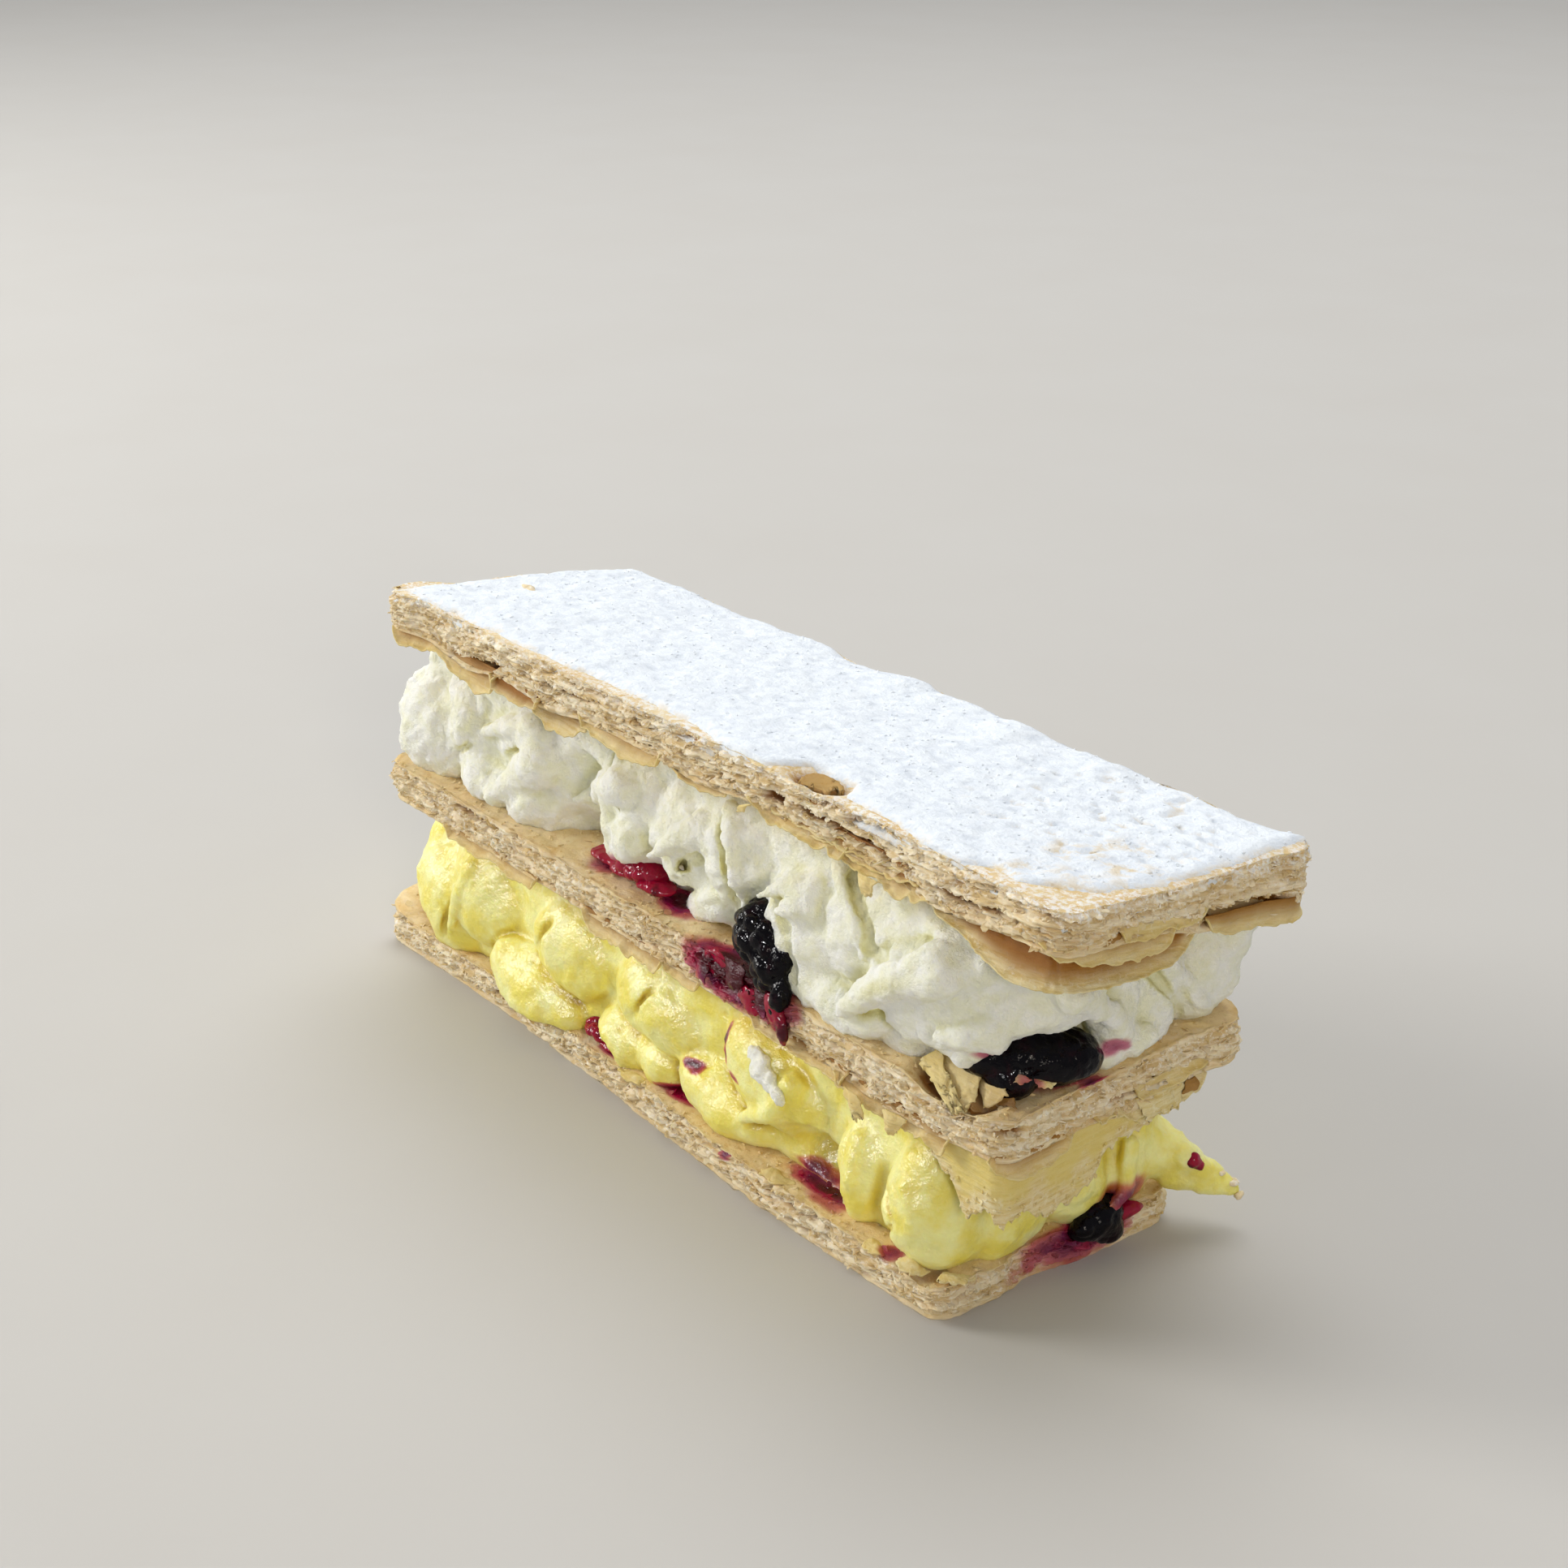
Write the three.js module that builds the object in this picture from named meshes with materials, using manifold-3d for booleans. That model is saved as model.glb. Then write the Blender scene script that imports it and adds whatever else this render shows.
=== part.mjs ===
// A slice of mille feuille: three sheets of puff pastry, a layer of piped custard, a layer of whipped cream and the
// dark berries pressed into both. Millimetres, +Z up. The origin is the middle of the bottom sheet's flat underside,
// on which the slice rests. +X runs along the slice towards its near end, and -Y is its open long side.
import * as THREE from "three";
import { mergeVertices } from "three/addons/utils/BufferGeometryUtils.js";
import Module from "manifold-3d";

const wasm = await Module();
wasm.setup();

// Driving dimensions.
const SHEET_LENGTH = 120;
const SHEET_WIDTH = 36;
const SHEET_CORNER = 3; // corner radius of a cut sheet
const CLEARANCE = 0.3; // left between pieces that touch
const LEAF_DEPTH = 0.55; // how far single leaves of pastry stand in or out at a cut side
const LEAF_JAG = 0.9; // how ragged their edges are, as a share of that
const LEAF_WAVE = 0.18; // how far their edges wander up and down
const UNDERSIDE_INSET = 3.2; // where the flat middle of an underside starts, from the edge
const TOP_INSETS = [1.8, 5, 9, 13.5]; // rings of a blistered top face, from the edge
const PLAIN_INSETS = [1.8, 4.5]; // rings of a plain top face
const END_BULGE = 0.6; // keeps inner rings full towards the short ends, as a share of their inset
const END_POWER = 21; // odd and high, so that the bulge acts at the very ends only
const SHEET_COLUMNS = 100; // points round a sheet
const WALL_COLUMNS = 108; // points round a filling
const WALL_ROWS = 8; // bands up a filling
const BLEND = 0.5; // radius of the crease between two lobes of filling
const GRAIN = 0.3; // unevenness of a filling's wall
const DRUPELETS = [5.1, 4.7, 5.3]; // bumps of a berry along its own axes, in radians from its middle to its skin
const DRUPELET_RELIEF = 0.12; // their height, as a share of the berry's size
const SPARE = 0.05; // by which cuts run past the clearance

// The heights of the leaves' edges, as shares of a sheet's thickness, and how far each stands out, in leaf depths.
const LEAVES = [0, 0.18, 0.36, 0.52, 0.7, 0.86, 1];
const LEAF_OUT = [-0.2, -1, 0.2, -0.7, 0.5, 0.1, 0];

// Each sheet: middle of its underside, width, thickness, turn about Z, and its rise along and across the slice.
// bow is how far a long side swings out and in, and curl how far the top's back edge rises towards the near end.
// dents and drops are places on the edge: reach is their half length, amount how far they go in, or hang down.
const SHEETS = {
  bottom: {
    middle: [0, 0, 0], width: SHEET_WIDTH, thickness: 4.5, turn: 0, riseAlong: 0, riseAcross: 0,
    bow: 0.9, curl: 0, salt: 11, dents: [{ x: 62, y: -3, reach: 7, amount: 1.2 }], drops: [],
  },
  middle: {
    middle: [6.6, -0.2, 24.4], width: SHEET_WIDTH, thickness: 5.4, turn: 0.0355, riseAlong: -0.023,
    riseAcross: 0.042, bow: 0.4, curl: 0, salt: 23, dents: [{ x: 59, y: 17, reach: 8, amount: -1.4 }],
    drops: [
      { x: 44, y: -18, reach: 12, amount: 1.3 }, { x: 61, y: 4, reach: 10, amount: 1.2 },
    ],
  },
  top: {
    middle: [14.9, -1, 49.1], width: 37.5, thickness: 4.8, turn: 0.0382, riseAlong: -0.0164,
    riseAcross: -0.1075, bow: -0.5, curl: 1.1, salt: 37,
    dents: [
      { x: -10, y: 19, reach: 9, amount: 2 }, { x: -34, y: 19, reach: 22, amount: 1.2 },
      { x: 51, y: 19, reach: 9, amount: 1 }, { x: 62, y: 17, reach: 6, amount: -1 },
      { x: -60, y: -17, reach: 8, amount: -2 },
    ],
    drops: [
      { x: -45, y: -19, reach: 9, amount: 1.6 }, { x: -26, y: -19, reach: 8, amount: 1.5 },
      { x: 2, y: -19, reach: 10, amount: 1.2 }, { x: 40, y: -19, reach: 16, amount: 1.1 },
      { x: 61, y: 8, reach: 13, amount: 2 }, { x: 60, y: 17, reach: 9, amount: 1.8 },
    ],
  },
};

// A slot between leaves, deep in the top sheet's edge: place on the edge, half length and depth.
const TOP_POCKET = { x: 61, y: 9, reach: 8, amount: 3.4 };
const POCKET_LEAVES = [1, 2]; // the leaves' edges that it lies between

// The leaf that drapes over the custard: where it starts, in columns of the wall; its cuts' spacing in columns; its
// length at each cut, in bands of the wall; its gap to the custard, its thickness and how far its root goes in.
const LEAF = {
  first: 0.44 * WALL_COLUMNS,
  step: 0.75,
  lengths: [0.8, 2.2, 3.4, 4.4, 3.4, 3.2, 3.9, 3.3, 2.9, 3.4, 2.6, 2.2, 2.6, 1.6, 0.8],
  gap: 2 * CLEARANCE,
  thickness: 0.9,
  root: 1,
};
const SPREAD = 0.15; // how far the leaf's bed in the custard runs past the leaf, in bands

// Lobes of filling: centre x, y, z, then half sizes along X, Y and Z, then lean about Y in degrees.
const CUSTARD = {
  body: { low: [-51, -8, 2], high: [56, 12, 27], round: 5 },
  path: { low: [-53, -12], high: [58, 15], round: 8 },
  lobes: [
    [-46, -12, 10.5, 9, 6.5, 9, -12],
    [-37, -12.5, 14, 8.5, 5.5, 7.5, -10],
    [-23, -14, 6, 10.5, 5.6, 5.6, -8],
    [-15.5, -12.6, 14.2, 8.5, 5.6, 6.2, -10],
    [-3.5, -13.5, 6.2, 5.5, 4.8, 4.8, 0],
    [3.5, -13.2, 6.8, 5, 4.8, 3.6, 0],
    [3, -12.4, 14, 9.5, 5.8, 6.4, -5],
    [17.5, -12.9, 7.6, 10, 5.4, 4.8, -10],
    [26.5, -12.4, 14.4, 10.5, 5.8, 5.8, -16],
    [43, -12.5, 10.2, 4.3, 5.2, 7.5, 0],
    [53.2, -12, 10.2, 5.6, 6, 8.3, 0],
    [56, -6, 10.2, 4.5, 6, 8, 0],
    [57, 3, 11.5, 3.8, 5, 7.5, 0],
    [56.5, 11, 11, 4, 6, 8, 0],
    [-51.5, -8.5, 12, 5.5, 6.5, 9, 0],
    [-52, 2.5, 9, 5, 7.5, 6.5, 0],
    [-51, 3, 19, 4.5, 8.5, 5.5, 0],
    [-51.5, 12, 13, 5.5, 6, 9.5, 0],
  ],
  back: { from: -44, step: 12.6, count: 8, y: 12.4, low: 8.5, high: 18, size: [8, 5.4, 6.4], lean: -18 },
  tail: { from: [57, 14.5, 10], to: [64.8, 22, 4.8], thick: 4, thin: 1 },
};
const CREAM = {
  body: { low: [-49, -8, 26], high: [61, 13, 55], round: 5 },
  path: { low: [-51, -12], high: [63, 16], round: 8 },
  lobes: [
    [-46, -13.2, 36, 9, 6.3, 8.2, 0],
    [-38, -12.2, 38.5, 6, 6, 7, 0],
    [-33, -14.6, 32.6, 5.5, 4.3, 3.8, 0],
    [-25.5, -14.3, 33, 5, 3.8, 3.6, 10],
    [-24, -12.5, 40.5, 9, 4.5, 3.4, 12],
    [-6.5, -13.4, 36.6, 5.5, 4.5, 5, 0],
    [1, -13, 39, 5, 5, 7, 0],
    [10, -13.6, 35.5, 5.4, 4.4, 5.8, 0],
    [21.5, -12.5, 40.5, 4.2, 5, 6, 0],
    [33.8, -12.5, 35, 6.8, 5.6, 7.5, 0],
    [42, -12.5, 40, 4, 5, 7, 0],
    [45.7, -15.2, 31.4, 4.5, 3.2, 2.4, 0],
    [52.5, -12, 38.2, 10, 6.6, 7.8, 0],
    [61.5, -8, 40, 7, 6.6, 6, 0],
    [64.5, 1.5, 35, 2.4, 3.2, 8, 0],
    [62.5, 8, 34.8, 4, 5, 8, 0],
    [61.5, 15.4, 34.5, 5, 5.2, 6, 0],
    [62, 17.8, 40, 5, 5, 6.5, 0],
    [-48.5, -5, 34.5, 5.5, 7, 6.5, 0],
    [-48, 3.5, 43.5, 5, 8.5, 5.5, 0],
    [-48.5, 6, 34, 5, 5.5, 5.5, 0],
    [-48.5, 13, 38, 5.5, 5, 9, 0],
  ],
  back: { from: -42, step: 13, count: 8, y: 13.2, low: 35, high: 42, size: [8, 5.4, 6.4], lean: 20 },
};

// Berries: centre, half sizes, turn about Z and lean about Y in degrees, all squashed by the filling.
const BERRIES = {
  berry_edge: [
    { at: [27.2, -16, 34], size: [4.5, 3.8, 4.4], turn: 0, lean: 20, salt: 3 },
    { at: [31.2, -17.9, 30.4], size: [2.3, 2.1, 3.8], turn: 0, lean: -24, salt: 5 },
  ],
  berry_corner: [{ at: [61.8, -6.9, 31.3], size: [8, 4.8, 3.8], turn: 53, lean: 0, salt: 7 }],
  berry_crushed: [{ at: [-1, -14.2, 31.6], size: [4.6, 2.9, 2.3], turn: 0, lean: 0, salt: 9 }],
  berry_end: [{ at: [59.5, 5.7, 4.6], size: [2.8, 3.8, 2.5], turn: 0, lean: 0, salt: 13 }],
  berry_pressed: [{ at: [-9.3, -15, 5.9], size: [3.3, 2.5, 1.6], turn: 0, lean: 0, salt: 17 }],
};

const MATERIALS = {
  pastry: new THREE.MeshStandardMaterial({ color: "#d9bb8a", roughness: 0.85 }),
  custard: new THREE.MeshStandardMaterial({ color: "#e2d77a", roughness: 0.4 }),
  cream: new THREE.MeshStandardMaterial({ color: "#efeedd", roughness: 0.55 }),
  berry: new THREE.MeshStandardMaterial({ color: "#22121f", roughness: 0.25 }),
};

// ---- Numbers that repeat on every run ----

// A value from 0 to 1 for a whole number and a salt.
function hash(index, salt) {
  const value = Math.sin(index * 12.9898 + salt * 78.233) * 43758.5453;
  return value - Math.floor(value);
}

// A smooth wave from -1 to 1 along t, which closes on itself after `cycle` steps.
function wander(t, salt, cycle) {
  const step = Math.floor(t);
  const part = t - step;
  const ease = part * part * (3 - 2 * part);
  const here = hash(step % cycle, salt);
  const next = hash((step + 1) % cycle, salt);
  return 2 * (here + (next - here) * ease) - 1;
}

// ---- Outlines ----

// Evenly spaced points and outward normals round a rectangle with round corners. Point i and point
// (count - i) mirror each other across the middle line, and point 0 is in the middle of the -X end.
function outline(low, high, round, count) {
  const straightX = high[0] - low[0] - 2 * round;
  const straightY = high[1] - low[1] - 2 * round;
  const bend = (Math.PI / 2) * round;
  const runs = [straightY / 2, bend, straightX, bend, straightY, bend, straightX, bend, straightY / 2];
  const total = runs.reduce((sum, run) => sum + run, 0);
  const points = [];
  for (let i = 0; i < count; i++) {
    let rest = (total * i) / count;
    let place = new THREE.Vector2(low[0], (low[1] + high[1]) / 2);
    let heading = -Math.PI / 2;
    for (let k = 0; k < runs.length && rest > 0; k++) {
      const length = Math.min(rest, runs[k]);
      rest -= length;
      if (k % 2 === 0) {
        place.x += length * Math.cos(heading);
        place.y += length * Math.sin(heading);
      } else {
        const centre = { x: place.x - round * Math.sin(heading), y: place.y + round * Math.cos(heading) };
        heading += length / round;
        place.x = centre.x + round * Math.sin(heading);
        place.y = centre.y - round * Math.cos(heading);
      }
    }
    points.push({ x: place.x, y: place.y, nx: Math.sin(heading), ny: -Math.cos(heading) });
  }
  return points;
}

// Caps for a ring: strips between points that mirror each other, or, for a ring with deep bays, cut ears.
function mirrorCap(ring) {
  const count = ring.length;
  const faces = [[0, 1, count - 1], [count / 2 - 1, count / 2, count / 2 + 1]];
  for (let i = 1; i < count / 2 - 1; i++) {
    faces.push([i, i + 1, count - i - 1], [i, count - i - 1, count - i]);
  }
  return faces;
}

function earCap(ring) {
  return THREE.ShapeUtils.triangulateShape(ring.map((p) => new THREE.Vector2(p.x, p.y)), []);
}

// Joins rings of equal length, listed from the lowest up, into one closed body with capped ends.
function bodyOfRings(rings, cap) {
  const count = rings[0].length;
  const index = [];
  for (let r = 0; r + 1 < rings.length; r++) {
    for (let i = 0; i < count; i++) {
      const a = r * count + i;
      const b = r * count + ((i + 1) % count);
      index.push(a, b, b + count, a, b + count, a + count);
    }
  }
  for (const [a, b, c] of cap(rings[0])) index.push(a, c, b);
  const last = (rings.length - 1) * count;
  for (const [a, b, c] of cap(rings.at(-1))) index.push(last + a, last + b, last + c);
  const geometry = new THREE.BufferGeometry().setFromPoints(rings.flat());
  geometry.setIndex(index);
  return geometry;
}

// ---- Joining and cutting ----

function solidOf(geometry) {
  const plain = geometry.clone();
  plain.deleteAttribute("normal");
  plain.deleteAttribute("uv");
  const merged = mergeVertices(plain, 1e-4);
  return new wasm.Manifold(
    new wasm.Mesh({
      numProp: 3,
      vertProperties: merged.attributes.position.array,
      triVerts: new Uint32Array(merged.index.array),
    }),
  );
}

function geometryOf(solid) {
  const mesh = solid.getMesh();
  const geometry = new THREE.BufferGeometry();
  geometry.setAttribute("position", new THREE.BufferAttribute(mesh.vertProperties, 3));
  geometry.setIndex(new THREE.BufferAttribute(mesh.triVerts, 1));
  return geometry;
}

// The largest body of a solid, without any crumb that a cut has freed.
function largest(solid) {
  return solid.decompose().reduce((best, body) => (body.volume() > best.volume() ? body : best));
}

// ---- Pastry ----

function sheetMatrix(sheet) {
  const tilt = new THREE.Euler(Math.atan(sheet.riseAcross), -Math.atan(sheet.riseAlong), sheet.turn, "ZYX");
  const turn = new THREE.Quaternion().setFromEuler(tilt);
  return new THREE.Matrix4().compose(new THREE.Vector3(...sheet.middle), turn, new THREE.Vector3(1, 1, 1));
}

// The height of a sheet's face, `lift` above its underside, over a point of the floor.
function faceHeight(sheet, lift) {
  const matrix = sheetMatrix(sheet);
  const point = new THREE.Vector3(0, 0, lift).applyMatrix4(matrix);
  const normal = new THREE.Vector3(0, 0, 1).transformDirection(matrix);
  return (x, y) => point.z - (normal.x * (x - point.x) + normal.y * (y - point.y)) / normal.z;
}

// The strength, from 0 to 1, of a named place on the edge at the point p.
function nearness(place, p) {
  const away = Math.hypot(p.x - place.x, p.y - place.y) / place.reach;
  return away < 1 ? (1 - away * away) ** 2 : 0;
}

function sum(places, p) {
  return places.reduce((total, place) => total + place.amount * nearness(place, p), 0);
}

// One sheet: a flat underside, a cut side of leaves that stand in and out, and a softly blistered top.
function pastrySheet(sheet, { flatUnderside, blister, pockets }) {
  const halfLength = SHEET_LENGTH / 2;
  const halfWidth = sheet.width / 2;
  const cycle = SHEET_COLUMNS / 2;
  const edge = outline([-halfLength, -halfWidth], [halfLength, halfWidth], SHEET_CORNER, SHEET_COLUMNS);
  const ring = (inset, height, jag) =>
    edge.map((p, i) => {
      const bow = sheet.bow * Math.sin((Math.PI * p.x) / halfLength) * Math.abs(p.ny);
      const out = bow - sum(sheet.dents, p) + jag(i, p);
      const bulge = END_BULGE * inset * (p.x / halfLength) ** END_POWER * (1 - (p.y / halfWidth) ** 2);
      const x = (p.x + p.nx * out) * (1 - inset / halfLength) + bulge;
      const y = (p.y + p.ny * out) * (1 - inset / halfWidth);
      return new THREE.Vector3(x, y, height(i, p));
    });
  const smooth = () => 0;
  const rough = (salt, size) => (i) => size * wander(i / 2 + salt, salt, cycle);
  const curl = (p) => (sheet.curl * (p.x / halfLength) * Math.max(p.y, 0)) / halfWidth;
  const hang = (i, p) => {
    const drop = sum(sheet.drops, p) * (0.75 + 0.25 * wander(i / 2, sheet.salt, cycle));
    return flatUnderside ? 0 : -drop;
  };
  const rings = [ring(UNDERSIDE_INSET, () => 0, smooth)];
  LEAVES.forEach((share, k) => {
    const salt = sheet.salt + k;
    const pocket = POCKET_LEAVES.includes(k) ? pockets : [];
    const jag = (i, p) =>
      LEAF_DEPTH * (LEAF_OUT[k] + LEAF_JAG * wander(i / 1.5 + k, salt, SHEET_COLUMNS)) - sum(pocket, p);
    const height = (i, p) => {
      const base = hang(i, p);
      const wave = share > 0 && share < 1 ? LEAF_WAVE * wander(i / 3 + k, salt + 5, cycle) : 0;
      return base + (sheet.thickness + curl(p) - base) * share + wave;
    };
    rings.push(ring(0, height, jag));
  });
  const insets = blister > 0 ? TOP_INSETS : PLAIN_INSETS;
  insets.forEach((inset, k) => {
    const bump = rough(sheet.salt + 50 + k, blister);
    const rise = (p) => curl(p) * (1 - inset / halfWidth);
    rings.push(ring(inset, (i, p) => sheet.thickness + rise(p) + bump(i, p), smooth));
  });
  return bodyOfRings(rings, mirrorCap);
}

// ---- Fillings ----

// A distance, close to true near the surface, to an ellipsoid turned about Z and leaning about Y.
function ellipsoid([cx, cy, cz, rx, ry, rz, lean]) {
  const cos = Math.cos(THREE.MathUtils.degToRad(lean));
  const sin = Math.sin(THREE.MathUtils.degToRad(lean));
  return (p) => {
    const dx = p.x - cx;
    const dz = p.z - cz;
    const x = cos * dx + sin * dz;
    const y = p.y - cy;
    const z = -sin * dx + cos * dz;
    const size = Math.hypot(x / rx, y / ry, z / rz);
    const slope = Math.hypot(x / rx ** 2, y / ry ** 2, z / rz ** 2);
    return (size * (size - 1)) / Math.max(slope, 1e-9);
  };
}

function roundBox({ low, high, round }) {
  const middle = low.map((value, k) => (value + high[k]) / 2);
  const half = low.map((value, k) => (high[k] - value) / 2 - round);
  return (p) => {
    const away = [p.x, p.y, p.z].map((value, k) => Math.abs(value - middle[k]) - half[k]);
    const outside = Math.hypot(...away.map((value) => Math.max(value, 0)));
    return outside + Math.min(Math.max(...away), 0) - round;
  };
}

// A squeezed-out tail that tapers from one point to another.
function taper({ from, to, thick, thin }) {
  const start = new THREE.Vector3(...from);
  const run = new THREE.Vector3(...to).sub(start);
  return (p) => {
    const share = THREE.MathUtils.clamp(p.clone().sub(start).dot(run) / run.lengthSq(), 0, 1);
    return p.distanceTo(start.clone().addScaledVector(run, share)) - (thick + (thin - thick) * share);
  };
}

// Lobes along the back: low and high in turn, each a little different.
function backLobes({ from, step, count, y, low, high, size, lean }) {
  return Array.from({ length: count }, (_, i) => {
    const grow = 0.85 + 0.35 * hash(i, 41);
    const x = from + step * (i + 0.4 * (hash(i, 47) - 0.5));
    const z = (i % 2 ? high : low) + 1.5 * (hash(i, 43) - 0.5);
    return [x, y, z, size[0] * grow, size[1], size[2] * grow, lean * (0.5 + hash(i, 59))];
  });
}

function fillingShape(layer) {
  const lobes = [...layer.lobes, ...backLobes(layer.back)];
  const shapes = [roundBox(layer.body), ...lobes.map(ellipsoid)];
  if (layer.tail) shapes.push(taper(layer.tail));
  return (p) =>
    shapes.reduce((nearest, shape) => {
      const next = shape(p);
      const overlap = Math.max(BLEND - Math.abs(nearest - next), 0) / BLEND;
      return Math.min(nearest, next) - overlap * overlap * BLEND * 0.25;
    }, Infinity);
}

// How far out along the column's normal the filling reaches at the height z.
function reachAt(shape, column, z) {
  const farthest = 12;
  const nearest = -10;
  const stride = 0.4;
  const at = (out) => shape(new THREE.Vector3(column.x + column.nx * out, column.y + column.ny * out, z));
  let outer = farthest;
  while (outer > nearest && at(outer) > 0) outer -= stride;
  let inner = outer;
  outer += stride;
  for (let turn = 0; turn < 12; turn++) {
    const half = (inner + outer) / 2;
    if (at(half) > 0) outer = half;
    else inner = half;
  }
  return inner;
}

// The rings of points of a filling's wall, from the face that it lies on to the face above it.
function fillingWall(layer, floor, roof) {
  const shape = fillingShape(layer);
  const columns = outline(layer.path.low, layer.path.high, layer.path.round, WALL_COLUMNS);
  return Array.from({ length: WALL_ROWS + 1 }, (_, row) =>
    columns.map((column, i) => {
      const share = row / WALL_ROWS;
      const middle = THREE.MathUtils.lerp(floor(column.x, column.y), roof(column.x, column.y), share);
      const out = reachAt(shape, column, middle) + GRAIN * (hash(i, row) - 0.5);
      const x = column.x + column.nx * out;
      const y = column.y + column.ny * out;
      return new THREE.Vector3(x, y, THREE.MathUtils.lerp(floor(x, y), roof(x, y), share));
    }),
  );
}

// A leaf peeled off the sheet above, rooted in it, that drapes down a filling's wall. It has a cut at every
// `step` columns, and `lengths` are in wall rows.
function drapedLeaf(wall, { first, step, lengths, gap, thickness, root }) {
  const pieces = 4;
  const onWall = (column, depth) => {
    const i = Math.floor(column);
    const row = wall.length - 1 - depth;
    const below = Math.min(Math.floor(row), wall.length - 2);
    const low = wall[below][i].clone().lerp(wall[below][i + 1], column - i);
    const high = wall[below + 1][i].clone().lerp(wall[below + 1][i + 1], column - i);
    return low.lerp(high, row - below);
  };
  const point = (column, depth, out) => {
    const across = onWall(column + 1, depth).sub(onWall(column - 1, depth));
    const normal = new THREE.Vector3(across.y, -across.x, 0).normalize();
    const lift = depth === 0 ? root : 0;
    return onWall(column, depth).addScaledVector(normal, out).add(new THREE.Vector3(0, 0, lift));
  };
  const sections = lengths.map((length, k) => {
    const side = (out) =>
      Array.from({ length: pieces + 1 }, (_, n) => point(first + step * k, (length * n) / pieces, out));
    return [...side(gap), ...side(gap + thickness).reverse()];
  });
  const size = sections[0].length;
  const end = (sections.length - 1) * size;
  const index = [];
  for (let s = 0; s < end; s += size) {
    for (let k = 0; k < size; k++) {
      const a = s + k;
      const b = s + ((k + 1) % size);
      index.push(a, a + size, b + size, a, b + size, b);
    }
  }
  for (let k = 0; k < pieces; k++) {
    const mirror = size - 1 - k;
    index.push(k, k + 1, mirror - 1, k, mirror - 1, mirror);
    index.push(end + k, end + mirror - 1, end + k + 1, end + k, end + mirror, end + mirror - 1);
  }
  const geometry = new THREE.BufferGeometry().setFromPoints(sections.flat());
  geometry.setIndex(index);
  return geometry;
}

// ---- Berries ----

// One squashed berry, rough with drupelets, grown by `grow` on every side.
function berryBody({ at, size, turn, lean, salt }, grow) {
  const geometry = new THREE.IcosahedronGeometry(1, 2);
  const position = geometry.attributes.position;
  const tilt = new THREE.Euler(0, THREE.MathUtils.degToRad(-lean), THREE.MathUtils.degToRad(turn), "ZYX");
  const place = new THREE.Vector3(...at);
  for (let i = 0; i < position.count; i++) {
    const p = new THREE.Vector3().fromBufferAttribute(position, i);
    const bumps = [p.x, p.y, p.z].map((value, k) => Math.sin(DRUPELETS[k] * value + (k + 1) * salt));
    p.multiplyScalar(1 + DRUPELET_RELIEF * bumps[0] * bumps[1] * bumps[2]);
    p.set(p.x * (size[0] + grow), p.y * (size[1] + grow), p.z * (size[2] + grow)).applyEuler(tilt).add(place);
    position.setXYZ(i, p.x, p.y, p.z);
  }
  return solidOf(geometry);
}

function berrySolid(pieces, grow) {
  return pieces.map((piece) => berryBody(piece, grow)).reduce((whole, piece) => whole.add(piece));
}

// ---- The slice ----

const bottomTop = faceHeight(SHEETS.bottom, SHEETS.bottom.thickness + CLEARANCE);
const middleUnder = faceHeight(SHEETS.middle, -CLEARANCE);
const middleTop = faceHeight(SHEETS.middle, SHEETS.middle.thickness + CLEARANCE);
const topUnder = faceHeight(SHEETS.top, -CLEARANCE);

const custardWall = fillingWall(CUSTARD, bottomTop, middleUnder);
const creamWall = fillingWall(CREAM, middleTop, topUnder);

const berryCuts = Object.values(BERRIES)
  .map((pieces) => berrySolid(pieces, CLEARANCE + SPARE))
  .reduce((whole, piece) => whole.add(piece));

function sheetSolid(sheet, options) {
  const geometry = pastrySheet(sheet, options).applyMatrix4(sheetMatrix(sheet));
  return solidOf(geometry);
}

const leaf = solidOf(drapedLeaf(custardWall, LEAF));
const leafBed = solidOf(
  drapedLeaf(custardWall, {
    ...LEAF,
    first: LEAF.first - LEAF.step,
    lengths: [SPREAD, ...LEAF.lengths.map((length) => length + SPREAD), SPREAD],
    gap: LEAF.gap - 2 * CLEARANCE,
    thickness: LEAF.thickness + 2 * CLEARANCE,
  }),
);

const group = new THREE.Group();
group.name = "mille_feuille_slice";

function addNode(name, solid, material) {
  const mesh = new THREE.Mesh(geometryOf(largest(solid)), material);
  mesh.geometry.computeVertexNormals();
  mesh.name = name;
  group.add(mesh);
}

const plain = { flatUnderside: false, blister: 0, pockets: [] };
addNode(
  "pastry_bottom",
  sheetSolid(SHEETS.bottom, { ...plain, flatUnderside: true }).subtract(berryCuts),
  MATERIALS.pastry,
);
addNode(
  "custard",
  solidOf(bodyOfRings(custardWall, earCap)).subtract(leafBed).subtract(berryCuts),
  MATERIALS.custard,
);
addNode(
  "pastry_middle",
  sheetSolid(SHEETS.middle, plain).add(leaf).subtract(berryCuts),
  MATERIALS.pastry,
);
addNode("cream", solidOf(bodyOfRings(creamWall, earCap)).subtract(berryCuts), MATERIALS.cream);
addNode(
  "pastry_top",
  sheetSolid(SHEETS.top, { flatUnderside: false, blister: 0.35, pockets: [TOP_POCKET] }),
  MATERIALS.pastry,
);
for (const [name, pieces] of Object.entries(BERRIES)) {
  addNode(name, berrySolid(pieces, 0), MATERIALS.berry);
}

export default group;
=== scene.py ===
"""A slice of mille feuille: three sheets of puff pastry with piped custard, whipped cream and dark berries.

The icing sugar, the crumbs, the juice and the loose flakes of pastry are made here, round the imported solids.
Sizes and places are in millimetres and degrees, in the frame of the part: +X runs along the slice to its near
end, -Y is its open long side and +Z is up. They become metres only when a mesh is made.
"""

import logging
import math
from dataclasses import dataclass, replace
from enum import Enum

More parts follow.
